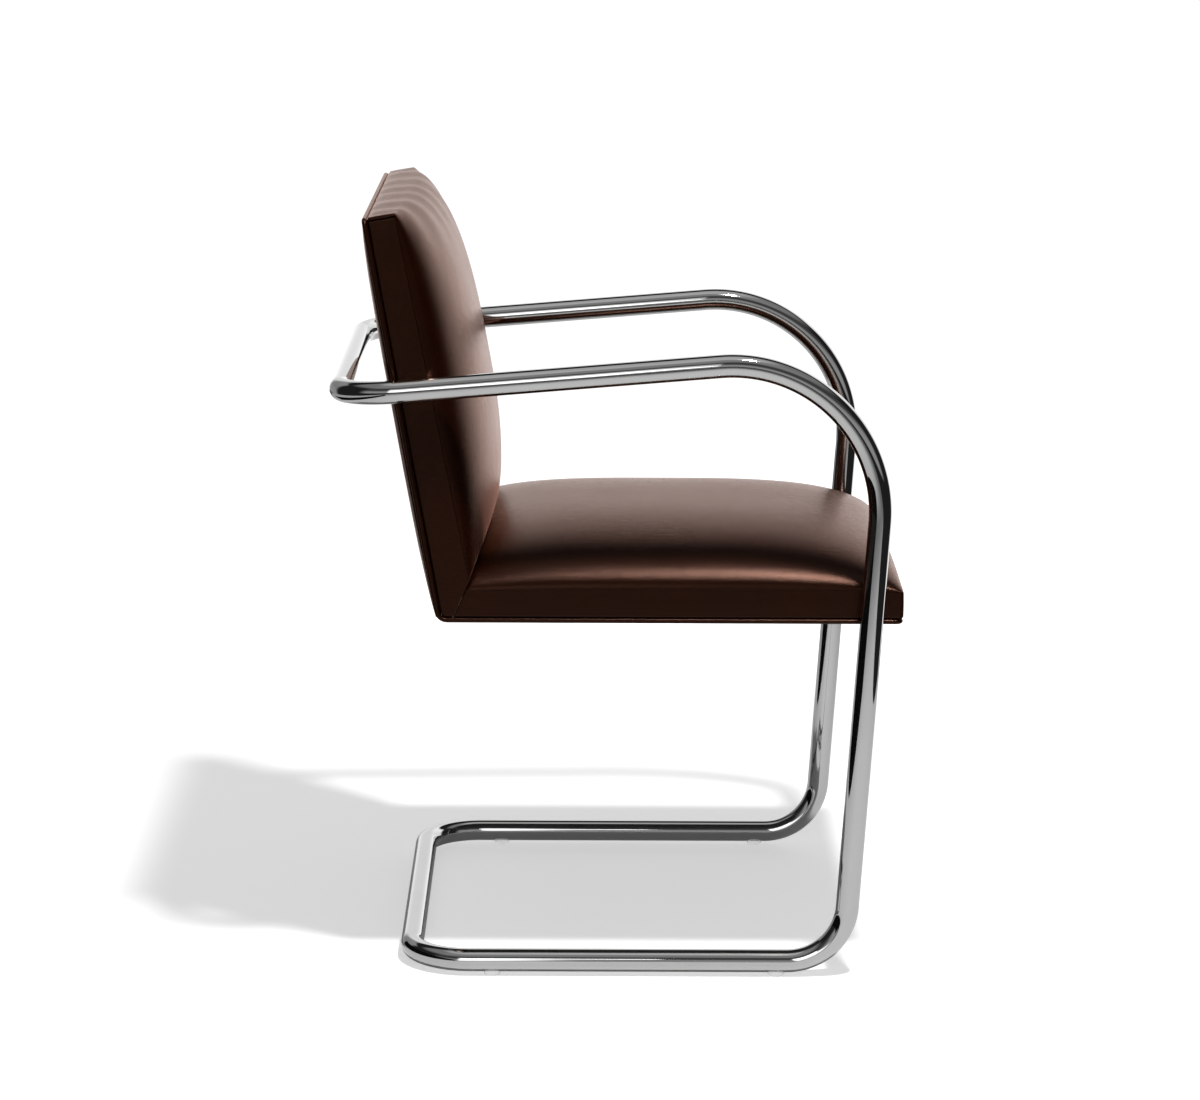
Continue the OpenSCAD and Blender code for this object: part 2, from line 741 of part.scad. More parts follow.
// Welt of the left side: from the middle of the back's top, down the back, round the panel's
// corner, along the seat's bottom edge and round to the middle of the seat's front
module welt_path() {
    welt_r = welt_d / 2;
    off = fit + welt_r;
    side = half_w - welt_r;
    tangent = panel_corner_r * tan((90 - back_lean) / 2);
    round_x = back_foot_x + tangent;
    front_x = seat_front - welt_r;
    top_b = back_len - welt_r;
    cross_len = side - welt_corner_r;
    at_back(top_b, -off) rotate([0, 0, 90]) straight(cross_len, welt_d, before = 0);
    at_back(top_b - welt_corner_r, -off) translate([0, side - welt_corner_r, 0])
        rotate([0, -90, 0]) bend(welt_corner_r, 0, 90, welt_d);
    at_back(tangent, -off) translate([0, side, 0]) rotate([0, -90, 0])
        straight(top_b - welt_corner_r - tangent, welt_d);
    translate([round_x, side, seat_base_h + panel_corner_r])
        rotate([90, 0, 0]) bend(panel_corner_r + off, 180 + back_lean, 90 - back_lean, welt_d);
    translate([0, 0, seat_base_h - off]) {
        translate([round_x, side, 0]) straight(front_x - welt_corner_r - round_x, welt_d);
        translate([front_x - welt_corner_r, side - welt_corner_r, 0]) bend(welt_corner_r, 0, 90, welt_d);
        translate([front_x, 0, 0]) rotate([0, 0, 90]) straight(cross_len, welt_d, before = 0);
    }
}

module welt_left() {
    color(leather) in_place() welt_path();
}

module welt_right() {
    color(leather) in_place() mirror([0, 1, 0]) welt_path();
}

// Board and leather behind the back, softly swelled, inside the welt
module outer_back_panel() {
    half = half_w - welt_d - fit;
    low_b = fit;
    high_b = back_len - welt_d - fit;
    rows = [0:outer_rows];
    cols = [0:outer_cols];
    function up_share(i) = sin(180 * i / outer_rows - 90);
    function side_share(j) = sin(180 * j / outer_cols - 90);
    function row_b(i) = (low_b + high_b) / 2 + (high_b - low_b) / 2 * up_share(i);
    function swell(i, j) = swell_base
        + outer_swell * crown(up_share(i), outer_crown_up) * crown(side_share(j), outer_crown_across);
    function outer_point(i, j, d) = back_point(row_b(i), half * side_share(j), d);
    inner = [for (i = rows) [for (j = cols) outer_point(i, j, -fit)]];
    outer = [for (i = rows) [for (j = cols) outer_point(i, j, -fit - swell(i, j))]];
    color(leather) in_place() between(inner, outer);
}

// Dust cover under the seat, inside the welt
module seat_bottom_cover() {
    half = half_w - welt_d - fit;
    from_x = back_foot_x + fit;
    to_x = seat_front - welt_d - fit;
    color(cloth) in_place() translate([from_x, -half, seat_base_h - fit - leather_t])
        cube([to_x - from_x, 2 * half, leather_t]);
}

side_tube_left();
side_tube_right();
rear_arm_bar();
rear_floor_bar();
joint_sleeves();
tube_inserts();
floor_glides();
spacers();
fixing_bolts();
backing_plates();
seat_side_rails();
seat_cross_rails();
back_stiles();
back_cross_rails();
frame_dowels();
corner_plates();
plate_screws();
seat_webbing();
back_webbing();
seat_foam();
back_foam();
seat_cover();
back_cover();
seat_side_panels();
back_side_panels();
welt_left();
welt_right();
outer_back_panel();
seat_bottom_cover();
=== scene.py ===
"""Cantilever lounge chair: chrome tube loop, leather cushions, welt and a studio.

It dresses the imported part: each new surface takes the place of the part's own nodes.

Shapes are worked out in millimetres in the chair's own drawing frame: X forward from the rear floor
bar, Y towards the sitter's left, Z up. place() turns them into the row's frame in metres.
"""
import json
import math

import bpy
import numpy as np
from mathutils import Matrix, Vector


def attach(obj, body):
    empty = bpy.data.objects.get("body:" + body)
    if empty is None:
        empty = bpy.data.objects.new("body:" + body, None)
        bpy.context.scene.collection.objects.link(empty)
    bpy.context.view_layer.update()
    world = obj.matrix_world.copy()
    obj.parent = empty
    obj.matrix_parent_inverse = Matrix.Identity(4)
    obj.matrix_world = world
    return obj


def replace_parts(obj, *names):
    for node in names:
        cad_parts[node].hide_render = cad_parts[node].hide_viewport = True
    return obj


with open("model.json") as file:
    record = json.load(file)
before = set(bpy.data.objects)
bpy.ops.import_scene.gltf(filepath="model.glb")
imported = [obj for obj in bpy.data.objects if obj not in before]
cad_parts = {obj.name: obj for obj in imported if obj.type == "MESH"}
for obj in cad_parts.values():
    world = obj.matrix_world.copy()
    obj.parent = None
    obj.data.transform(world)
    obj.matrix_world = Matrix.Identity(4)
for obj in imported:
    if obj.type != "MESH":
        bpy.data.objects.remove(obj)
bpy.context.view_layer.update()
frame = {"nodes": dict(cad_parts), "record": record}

bl_info = {
    "name": "Cantilever Lounge Chair",
    "version": (1, 0, 0),
    "blender": (4, 5, 0),
    "location": "3D View > Sidebar > Chair",
    "description": "Dresses the packed chair in chrome and leather and sets up a plain studio",
    "category": "Object",
}

SLOT_COLOURS = {m["slot"]: tuple(m["base_color"])[:3] for m in frame["record"]["materials"]}
MM = 0.001

# Small sizes of the part's source, in millimetres unless a share
FIT = 0.3             # between pieces that lie against each other
SEAM_GAP = 0.15       # from the mitre's plane to the seam of each cushion and panel
LINING = 23.9         # thickness of rail, webbing and clearance under the foam
CROWN_LEAD = 12       # the seat's crown is highest this far in front of its middle
TURN_SHARE = 0.48     # the back's crown is deepest at this share of its length
PANEL_CORNER = 8.0    # radius of the side panels' rear lower corner
WELT_CORNER = 6.0     # radius of the welt's tight corners

# Crowns of the part's source, as flatness and fall: see crown()
ACROSS = (3, 0.55)
SEAT_EDGE = ((2.2, 0.8), (6, 0.45))     # behind and ahead of the seat's highest place
SEAT_CREST = ((4, 0.55), (3, 0.45))
BACK_RISE = ((2.2, 0.55), (3, 0.45))    # below and above the back's deepest place
OUTER_UP, OUTER_ACROSS = (4, 0.5), (5, 0.45)

# Grids: columns, rows up to the crown's top, rows past it, and rows down the front or over the top
SEAT_FINE, SEAT_COARSE = (181, 70, 90, 26), (57, 22, 28, 8)
BACK_FINE, BACK_COARSE = (181, 66, 90, 26), (57, 20, 28, 8)
ROUND_TUBE, ROUND_WELT = 72, 28         # points round the tube and round the welt

RIPPLE_LENGTH, RIPPLE_FADE = 78, 48     # of the ripples over the back's top, in millimetres
SEAT_ROLL, BACK_ROLL = 3.2, 2.6         # of the front and the top towards the side seams
FRONT_BULGE, FRONT_ACROSS = 0.9, (8, 0.5)   # of the seat's front face, and its crown across
TOP_BULGE, TOP_ACROSS = 1.4, (6, 0.6)       # of the back's top
TOP_SLIT = (1.8, 1.6)                   # depth and width of the step beside the top's welt
TUCK, GROOVE = 1.6, 2.0                 # turned in behind a side seam; width of the mitre's groove
PANEL_GAP, PANEL_TOP = 0.25, 2.9        # a side panel's edge from the seam and from the back's top
PANEL_INSET, PANEL_SWELL, PANEL_ROLL = 0.12, 0.25, 0.4
STEP, TURN_STEP = 9, 1.5                # of the tube's rings, in millimetres and in degrees

# Settling: cloth frames, pressure, growth, furthest move in millimetres and share of the swelling
SETTLE_FRAMES, SETTLE_PRESSURE, SETTLE_GROWTH, SETTLE_CAP, SWELL_SHARE = 20, 4, 0.03, 4.0, 0.15

# Studio, in metres: floor, black card, and the camera's place, axes (right, up, ahead) and lens
FLOOR_X, FLOOR_Y, FLOOR_ROWS = (-9.0, 3.4), (-1.28, 1.90), 24
CARD_Y, CARD_CORNERS = 0.8, ((-1.6, 0.0), (0.5, 0.0), (0.5, 0.28), (-1.6, 0.28))
CAMERA_SPOT, LENS = (-4.3262, 0.0443, 1.2768), 117.09
CAMERA_AXES = ((-0.00548, -0.99997, 0.00526), (0.19522, 0.00409, 0.98075),
               (0.98074, -0.00640, -0.19519))


# Properties

def length(name, default_mm, description):
    return bpy.props.FloatProperty(name=name, default=default_mm * MM, unit="LENGTH", precision=5,
                                   description=description)


def angle(name, default_deg, description):
    return bpy.props.FloatProperty(name=name, default=math.radians(default_deg), unit="ROTATION",
                                   description=description)


def colour(name, default, description):
    return bpy.props.FloatVectorProperty(name=name, default=default, subtype="COLOR", size=3,
                                         min=0.0, max=1.0, description=description)


class TubeSizes(bpy.types.PropertyGroup):
    """Sizes of the chrome tube loop, as in the part's source"""
    tube_od: length("Tube diameter", 25, "Outside diameter of the steel tube")
    frame_w: length("Frame width", 530, "Distance between the side tubes' centrelines")
    arm_h: length("Arm height", 632, "Height of the arm's centreline at the rear arm bar")
    arm_rise: angle("Arm rise", 4.8, "Rise of the arm towards the front")
    foot_x: length("Foot reach", 469, "From the rear floor bar to the foot of the leg")
    leg_lean: angle("Leg lean", 3.7, "Forward lean of the leg")
    arm_back: length("Arm overhang", 74, "Rear arm bar behind the rear floor bar")
    arm_bend: length("Arm bend radius", 158, "Centreline radius of the bend from arm to leg")
    corner_bend: length("Corner bend radius", 65, "Centreline radius of the floor and rear bends")
    tail: length("Corner tail", 35, "Straight tube past each rear corner, up to the butt joint")
    glide_h: length("Glide height", 3, "Height of the glides under the runners")


class UpholsterySizes(bpy.types.PropertyGroup):
    """Sizes of the seat, the back and the welt, as in the part's source"""
    half_w: length("Half width", 245, "Half the width of the upholstery")
    base_h: length("Seat seam height", 390, "Height of the seat's bottom seam")
    seat_front: length("Seat front", 529, "From the rear floor bar to the seat's front face")
    side_h: length("Side seam height", 32, "Height of the seat's side seam above the bottom seam")
    corner_h: length("Corner seam height", 28, "The same at the seat's corners")
    crown_h: length("Seat crown", 90, "Height of the seat's crown above the bottom seam")
    back_lean: angle("Back lean", 10.2, "Lean of the back")
    back_len: length("Back length", 435, "From the bottom seam to the top of the back")
    foot_x: length("Back foot", 33.6, "Rear seam of the back in front of the rear floor bar")
    top_d: length("Back depth at the top", 30, "Depth of the back's side panel at the top")
    foot_d: length("Back depth at the foot", 38, "Depth of the back's side panel at the foot")
    crown_d: length("Back crown", 88, "Depth of the back at its crown")
    mitre: angle("Mitre angle", 66, "Slope of the seam between seat and back")
    mitre_foot: length("Mitre foot", 13, "Mitre seam in front of the back's rear seam")
    leather_t: length("Leather", 1.5, "Thickness of the leather")
    welt_d: length("Welt diameter", 5.5, "Diameter of the welt")
    ripple: length("Ripple height", 0.95, "Height of the soft ripples over the back's top edge")
    swell: length("Outer back swell", 10, "Swell of the outer back panel")


class ChairColours(bpy.types.PropertyGroup):
    """Colours and gloss of the chair's finishes"""
    leather: colour("Leather", (0.0145, 0.0027, 0.0005), "Colour of the leather")
    chrome: colour("Chrome", (0.55, 0.556, 0.548), "Reflection colour of the chrome")
    steel: colour("Steel", SLOT_COLOURS["steel"], "Colour of the fittings")
    glide: colour("Glides", SLOT_COLOURS["glide"], "Colour of the plastic glides")
    timber: colour("Timber", SLOT_COLOURS["timber"], "Colour of the wooden frame")
    webbing: colour("Webbing", SLOT_COLOURS["webbing"], "Colour of the webbing")
    dust_cloth: colour("Dust cover", SLOT_COLOURS["dust_cloth"], "Colour of the dust cover")
    floor: colour("Floor", (0.8, 0.8, 0.8), "Colour of the studio floor")


def tube():
    return bpy.context.scene.chair_tube


def pads():
    return bpy.context.scene.chair_upholstery


def tints():
    return bpy.context.scene.chair_colours


def mm(value):
    """A length property in millimetres."""
    return value / MM


# Meshes

def place(points):
    """Points of the drawing frame, in millimetres, as points of the row's frame, in metres: X turns
    to -Y, Y turns to +X, and the middle between rear arm bar and seat front is centred."""
    t, u = tube(), pads()
    centre = (mm(u.seat_front) - mm(t.arm_back) - mm(t.tube_od) / 2) / 2
    x, y, z = np.moveaxis(np.asarray(points, float), -1, 0)
    return np.stack([y, centre - x, z], -1) * MM


def grid_quads(rows, cols, close_cols=False):
    """Quads of a grid whose points are numbered row by row."""
    wide = cols if close_cols else cols - 1
    i, j = np.meshgrid(np.arange(rows - 1), np.arange(wide), indexing="ij")
    n = (j + 1) % cols
    below, above = i * cols, (i + 1) * cols
    return np.stack([below + j, above + j, above + n, below + n], -1).reshape(-1, 4)


def volume(points, faces):
    """Signed volume inside closed faces: the sum of their fans' triple products over six."""
    total = 0.0
    for f in faces:
        a = points[f[:, 0]]
        for k in range(1, f.shape[1] - 1):
            total += np.einsum("ij,ij->i", a, np.cross(points[f[:, k]], points[f[:, k + 1]])).sum()
    return total / 6


def piece(name, points, faces, finish, attributes=None):
    """Makes a closed, smooth piece with its faces outwards, from points in metres and arrays of
    quads or triangles. It rides on the part's one body."""
    if volume(points, faces) < 0:
        faces = [f[:, ::-1] for f in faces]
    mesh = bpy.data.meshes.new(name)
    mesh.from_pydata(points.tolist(), [], [q for f in faces for q in f.tolist()])
    mesh.polygons.foreach_set("use_smooth", np.ones(len(mesh.polygons), bool))
    for key, values in (attributes or {}).items():
        layer = mesh.attributes.new(key, "FLOAT", "POINT")
        layer.data.foreach_set("value", np.ascontiguousarray(values, np.float32))
    mesh.validate()
    mesh.update()
    obj = bpy.data.objects.new(name, mesh)
    bpy.context.scene.collection.objects.link(obj)
    mesh.materials.append(finish)
    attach(obj, "root")
    return obj


def between(outer, inner):
    """Points and faces of the solid between two grids of the same size, stitched round the rim."""
    rows, cols = outer.shape[:2]
    n = rows * cols
    quads = grid_quads(rows, cols)
    rim = np.concatenate([np.arange(cols), np.arange(1, rows) * cols + cols - 1,
                          (rows - 1) * cols + np.arange(cols - 2, -1, -1),
                          np.arange(rows - 2, 0, -1) * cols])
    after = np.roll(rim, -1)
    walls = np.stack([rim, after, after + n, rim + n], -1)
    return np.concatenate([outer.reshape(-1, 3), inner.reshape(-1, 3)]), [
        np.concatenate([quads, quads[:, ::-1] + n, walls])]


# Paths and tubes

def unit(v):
    v = np.asarray(v, float)
    return v / np.linalg.norm(v)


def walk(start, heading, side, moves, step, turn_step):
    """A path of straights and arcs. A straight adds the heading times the distance. An arc of
    radius r about the centre p + r*side turns heading and side together:
    p + r*(sin t * heading + (1 - cos t) * side). Returns points, headings and one frame vector
    that is carried along."""
    p, h = np.asarray(start, float), unit(heading)
    n = unit(side)
    n = unit(n - h * n.dot(h))
    points, heads, norms = [p[None]], [h[None]], [n[None]]
    for move in moves:
        if move[0] == "go":
            s = np.linspace(0, move[1], max(2, int(math.ceil(move[1] / step)) + 1))[1:, None]
            line = p + s * h
            turned = np.repeat(h[None], len(s), 0)
            carried = np.repeat(n[None], len(s), 0)
        else:
            radius, degrees, to = move[1], move[2], unit(move[3])
            to = unit(to - h * to.dot(h))
            count = max(2, int(math.ceil(degrees / turn_step)))
            t = np.radians(np.linspace(0, degrees, count + 1))[1:, None]
            line = p + radius * (np.sin(t) * h + (1 - np.cos(t)) * to)
            turned = np.cos(t) * h + np.sin(t) * to
            axis = np.cross(h, to)
            along, across = n.dot(to), n.dot(axis)
            carried = along * (np.cos(t) * to - np.sin(t) * h) + across * axis + n.dot(h) * turned
        points.append(line)
        heads.append(turned)
        norms.append(carried)
        p, h, n = line[-1], turned[-1], carried[-1]
    return tuple(np.concatenate(a) for a in (points, heads, norms))


def carry(path, radii, sides):
    """A circle carried along a path: point + r*(cos a * n + sin a * (heading x n))."""
    points, heads, norms = path
    a = np.linspace(0, 2 * np.pi, sides, endpoint=False)[None, :, None]
    ring = np.cos(a) * norms[:, None] + np.sin(a) * np.cross(heads, norms)[:, None]
    return points[:, None] + np.asarray(radii)[:, None, None] * ring


def capped(rings):
    """Closes a carried profile with a fan at each end."""
    rows, cols = rings.shape[:2]
    points = np.concatenate([rings.reshape(-1, 3), rings[0].mean(0)[None], rings[-1].mean(0)[None]])
    j = np.arange(cols)
    n = (j + 1) % cols
    first, end = np.full(cols, rows * cols), (rows - 1) * cols
    fans = np.concatenate([np.stack([first, j, n], -1),
                           np.stack([first + 1, end + n, end + j], -1)])
    return points, [grid_quads(rows, cols, True), fans]


def loop_numbers():
    """The loop's knee and foot, from the same formulas as the part's source."""
    t = tube()
    od, arm_h, foot_x, arm_back = mm(t.tube_od), mm(t.arm_h), mm(t.foot_x), mm(t.arm_back)
    run_z = mm(t.glide_h) + od / 2
    lean, rise = math.tan(t.leg_lean), math.tan(t.arm_rise)
    knee_z = (arm_h + (foot_x + arm_back - run_z * lean) * rise) / (1 - lean * rise)
    knee_x = foot_x + (knee_z - run_z) * lean
    knee_turn = math.pi / 2 + t.arm_rise + t.leg_lean
    foot_turn = math.pi / 2 - t.leg_lean
    bend, corner = mm(t.arm_bend), mm(t.corner_bend)
    knee_cut = bend * math.tan(knee_turn / 2)
    foot_cut = corner * math.tan(foot_turn / 2)
    return {
        "run_z": run_z, "bend": bend, "corner": corner,
        "knee_turn": math.degrees(knee_turn), "foot_turn": math.degrees(foot_turn),
        "arm_len": (knee_x + arm_back) / math.cos(t.arm_rise) - knee_cut - corner,
        "leg_len": (knee_z - run_z) / math.cos(t.leg_lean) - knee_cut - foot_cut,
        "run_len": foot_x - foot_cut - corner,
        "bar": mm(t.frame_w) - 2 * corner - 2 * mm(t.tail),
    }


def side_tube_path(sign):
    """From the rear arm bar's joint round to the rear floor bar's, on the side of the sign."""
    t, k = tube(), loop_numbers()
    arm = np.array([math.cos(t.arm_rise), 0, math.sin(t.arm_rise)])
    fall = np.array([math.sin(t.arm_rise), 0, -math.cos(t.arm_rise)])
    back = np.array([-math.cos(t.leg_lean), 0, math.sin(t.leg_lean)])
    start = [-mm(t.arm_back), sign * k["bar"] / 2, mm(t.arm_h)]
    moves = [("go", mm(t.tail)), ("turn", k["corner"], 90, arm), ("go", k["arm_len"]),
             ("turn", k["bend"], k["knee_turn"], fall), ("go", k["leg_len"]),
             ("turn", k["corner"], k["foot_turn"], back), ("go", k["run_len"]),
             ("turn", k["corner"], 90, [0, -sign, 0]), ("go", mm(t.tail))]
    return walk(start, [0, sign, 0], arm, moves, STEP, TURN_STEP)


def make_tube(name, path):
    """A tube with flush ends, so that the polished butt joints don't show."""
    rings = carry(path, np.full(len(path[0]), mm(tube().tube_od) / 2), ROUND_TUBE)
    points, faces = capped(rings)
    obj = piece(name, place(points), faces, chrome_finish())
    crisp_ends(obj.data, len(points) - 2)
    return obj


def crisp_ends(mesh, first_pole):
    """Marks the edges round both caps sharp: those shared by a cap's triangle and the wall."""
    ends = np.zeros(len(mesh.edges) * 2, int)
    mesh.edges.foreach_get("vertices", ends)
    ends = ends.reshape(-1, 2)
    rim = np.zeros(len(mesh.vertices), bool)
    touching = (ends >= first_pole).any(1)
    rim[ends[touching].ravel()] = True
    rim[first_pole:] = False
    sharp = mesh.attributes.new("sharp_edge", "BOOLEAN", "EDGE")
    sharp.data.foreach_set("value", rim[ends].all(1))
    mesh.update()


# Soft shapes

def crown(share, flatness, fall):
    """Falls from 1 in the middle to 0 at the edge: (1 - |share| ** flatness) ** fall."""
    return np.maximum(0, 1 - np.minimum(1, np.abs(share)) ** flatness) ** fall


def hump(place, low, top, high, behind, ahead):
    """A crown with its own flatness and fall on either side of its top."""
    return np.where(place > top, crown((place - top) / (high - top), *ahead),
                    crown((top - place) / (top - low), *behind))


def roll(distance, radius):
    """How far a rolled edge falls back: radius - sqrt(radius^2 - (radius - distance)^2)."""
    d = np.clip(radius - distance, 0, radius)
    return radius - np.sqrt(radius ** 2 - d ** 2)


def dip(distance, width):
    """A seam's groove: exp(-(distance / width)^2)."""
    return np.exp(-(distance / width) ** 2)


def recess(distance, depth=1.35, width=1.5):
    """The slit beside a welt: the sheet steps back by the depth within the width of its edge, as
    depth * (1 - smooth step of the distance)."""
    t = np.clip((distance - width * 0.6) / (width * 0.7), 0, 1)
    return depth * (1 - t * t * (3 - 2 * t))


def waves(a, b, seed, octaves=4):
    """Smooth unevenness between about -1 and 1: sums of sines of the two parameters, turned and
    shifted by fixed numbers of the seed, at doubling rates."""
    total = np.zeros(np.broadcast(a, b).shape)
    for k in range(octaves):
        turn, rate = seed * 1.7 + k * 2.4, 2.0 ** k
        along = rate * (a * math.cos(turn) + b * math.sin(turn)) + seed * 3.1 + k
        across = rate * (b * math.cos(turn) - a * math.sin(turn)) * 0.83 + seed + k * 1.9
        total = total + np.sin(along) * np.sin(across) / (1 + k)
    return total / 1.6


class Pad:
    """The numbers of seat and back, in millimetres, and the formulas of the part's source."""

    def __init__(self):
        u = pads()
        self.half, self.base = mm(u.half_w), mm(u.base_h)
        self.front, self.side, self.corner = mm(u.seat_front), mm(u.side_h), mm(u.corner_h)
        self.top, self.lean, self.length = mm(u.crown_h), u.back_lean, mm(u.back_len)
        self.foot, self.top_d, self.foot_d = mm(u.foot_x), mm(u.top_d), mm(u.foot_d)
        self.depth, self.mitre = mm(u.crown_d), u.mitre
        self.leather, self.welt = mm(u.leather_t), mm(u.welt_d)
        self.corner_x = self.foot + mm(u.mitre_foot)
        self.mid_x = (self.corner_x + self.front) / 2 + CROWN_LEAD
        self.rear_x = self.foot - mm(u.mitre_foot)
        self.turn_b, self.low_b = self.length * TURN_SHARE, 2 * mm(u.mitre_foot)
        self.wood_y = self.half - self.leather - FIT

    def seat_edge(self, x):
        """Height of the side seam: corner height, rising to the side height in the middle."""
        rise = hump(x, self.rear_x, self.mid_x, self.front, *SEAT_EDGE)
        return self.corner + (self.side - self.corner) * rise

    def seat_height(self, x, y):
        """Edge height, plus the crest above it times the crown across."""
        rise = hump(x, self.rear_x, self.mid_x, self.front, *SEAT_CREST)
        crest = self.corner + (self.top - self.corner) * rise
        edge = self.seat_edge(x)
        return edge + (crest - edge) * crown(y / self.half, *ACROSS)

    def back_edge(self, b):
        """Depth of the side panel: from the foot's to the top's in a straight line."""
        return self.foot_d + (self.top_d - self.foot_d) * b / self.length

    def back_depth(self, b, y):
        """Edge depth, plus the rise above it times the crown across."""
        rise = hump(b, self.low_b, self.turn_b, self.length, *BACK_RISE)
        edge = self.back_edge(b)
        return edge + (self.depth - edge) * rise * crown(y / self.half, *ACROSS)

    def seat_point(self, x, y, h):
        """A point x ahead, y across and h above the seat's bottom seam."""
        x, y, h = np.broadcast_arrays(x, y, h)
        return np.stack([x, y, self.base + h], -1)

    def back_point(self, b, y, d):
        """A point b along, y across and d through the back."""
        b, y, d = np.broadcast_arrays(b, y, d)
        s, c = math.sin(self.lean), math.cos(self.lean)
        return np.stack([self.foot - b * s + d * c, y, self.base + b * c + d * s], -1)

    def past_mitre(self, x, h):
        """Distance in front of the mitre's plane of a place x ahead and h above the bottom seam."""
        return (x - self.corner_x) * math.sin(self.mitre) - h * math.cos(self.mitre)

    def meet(self, surface, low, high, aim):
        """Where a surface crosses a plane beside the mitre, by halving, for all columns at once."""
        for _ in range(40):
            mid = (low + high) / 2
            p = surface(mid)
            past = (self.past_mitre(p[..., 0], p[..., 2] - self.base) > aim) == (aim > 0)
            low, high = np.where(past, low, mid), np.where(past, mid, high)
        return (low + high) / 2

    def seat_start(self, y):
        """Where the seat's crown leaves the mitre, at each place across."""
        return self.meet(lambda x: self.seat_point(x, y, self.seat_height(x, y)),
                         np.full(y.size, self.corner_x), np.full(y.size, self.mid_x), SEAM_GAP)

    def back_start(self, y):
        """Where the back's crown leaves the mitre, at each place across."""
        return self.meet(lambda b: self.back_point(b, y, self.back_depth(b, y)),
                         np.zeros(y.size), np.full(y.size, self.turn_b), -SEAM_GAP)


def closing(n):
    """Shares from 0 to 1 that close up at both ends, as half a cosine wave does."""
    return (1 - np.cos(np.linspace(0, np.pi, n))) / 2


def columns(half, n):
    """Column places from -half to half, closing up towards both side seams."""
    c = np.linspace(-1, 1, n)
    return half * np.sin(np.pi / 2 * np.sign(c) * np.abs(c) ** 0.92)


def rows_over(start, middle, end, rear, ahead):
    """Rows of places from start over the middle to the end, closer together near both: a power
    of the share up to the middle and a sine of it past the middle."""
    up = np.linspace(0, 1, rear + 1)[:, None] ** 1.35
    on = np.sin(np.linspace(0, 1, ahead + 1) * np.pi / 2)[1:, None]
    return np.concatenate([start + (middle - start) * up, middle + (end - middle) * on])


def seat_grids(pad, cols, rear, ahead, apron):
    """Outer sheet and lining of the seat cushion, with each outer point's distance from the mitre
    and the welt. The sheet leaves the mitre, runs over the crown to the front face and down it,
    with a slight bulge, to the bottom seam. The lining lies on the webbing and behind the front."""
    y, flat = columns(pad.half, cols), np.ones(cols)
    front = pad.front - roll(pad.half - np.abs(y), SEAT_ROLL)
    x = rows_over(pad.seat_start(y), pad.mid_x, front, rear, ahead)
    h = pad.seat_height(x, y)
    left = 1 - np.linspace(0, 1, apron + 1)[1:, None]
    drop = h[-1] * left
    arch = np.sin(np.pi * np.clip(drop / pad.corner, 0, 1))
    bulge = FRONT_BULGE * arch * crown(y / pad.half, *FRONT_ACROSS)
    xs = np.concatenate([x, front + bulge - recess(drop)])
    hs = np.concatenate([h, drop])
    outer = pad.seat_point(xs, y, hs)
    start = pad.corner_x + (LINING * math.cos(pad.mitre) + SEAM_GAP) / math.sin(pad.mitre)
    end = pad.front - pad.leather - FIT
    lx = np.concatenate([rows_over(start * flat, pad.mid_x, end * flat, rear, ahead),
                         np.full(drop.shape, end)])
    lh = np.concatenate([np.full(h.shape, LINING), LINING * left * flat])
    lining = pad.seat_point(lx, np.clip(y, -pad.wood_y, pad.wood_y), lh)
    return outer, lining, {"mitre": np.linalg.norm(outer - outer[0], axis=-1), "welt": hs}


def back_grids(pad, cols, rear, ahead, apron):
    """The same for the back cushion: from the mitre over the crown to the top edge, then rearwards
    over the slightly rounded top to the welt. The lining lies on the webbing and under the top."""
    y, flat = columns(pad.half, cols), np.ones(cols)
    top = pad.length - roll(pad.half - np.abs(y), BACK_ROLL)
    b = rows_over(pad.back_start(y), pad.turn_b, top, rear, ahead)
    d = pad.back_depth(b, y)
    left = 1 - np.linspace(0, 1, apron + 1)[1:, None]
    over = d[-1] * left
    arch = np.sin(np.pi * np.clip(over / pad.top_d, 0, 1))
    bulge = TOP_BULGE * arch * crown(y / pad.half, *TOP_ACROSS)
    bs = np.concatenate([b, top + bulge - recess(over, *TOP_SLIT)])
    ds = np.concatenate([d, over])
    outer = pad.back_point(bs, y, ds)
    turn = pad.mitre - pad.lean
    start = (LINING * math.sin(turn) - (pad.corner_x - pad.foot) * math.sin(pad.mitre)
             + SEAM_GAP) / math.cos(turn)
    end = pad.length - pad.leather - FIT
    lb = np.concatenate([rows_over(start * flat, pad.turn_b, end * flat, rear, ahead),
                         np.full(over.shape, end)])
    ld = np.concatenate([np.full(d.shape, LINING), LINING * left * flat])
    lining = pad.back_point(lb, np.clip(y, -pad.wood_y, pad.wood_y), ld)
    return outer, lining, {"mitre": np.linalg.norm(outer - outer[0], axis=-1), "welt": ds, "b": bs}


def grid_normals(grid, row, axis):
    """Unit normals of a grid: the cross product of its two slopes, turned so that the middle one of
    a row points up the axis."""
    n = np.cross(np.gradient(grid, axis=0), np.gradient(grid, axis=1))
    n = n / np.maximum(np.linalg.norm(n, axis=-1, keepdims=True), 1e-9)
    return -n if n[row, n.shape[1] // 2, axis] < 0 else n


def blurred(field, rounds):
    """A field averaged with its neighbours along both ways, several times over."""
    for _ in range(rounds):
        padded = np.pad(field, ((1, 1), (1, 1), (0, 0)), mode="edge")
        field = (padded[:-2, 1:-1] + padded[2:, 1:-1] + padded[1:-1, :-2] + padded[1:-1, 2:]
                 + 4 * field) / 8
    return field


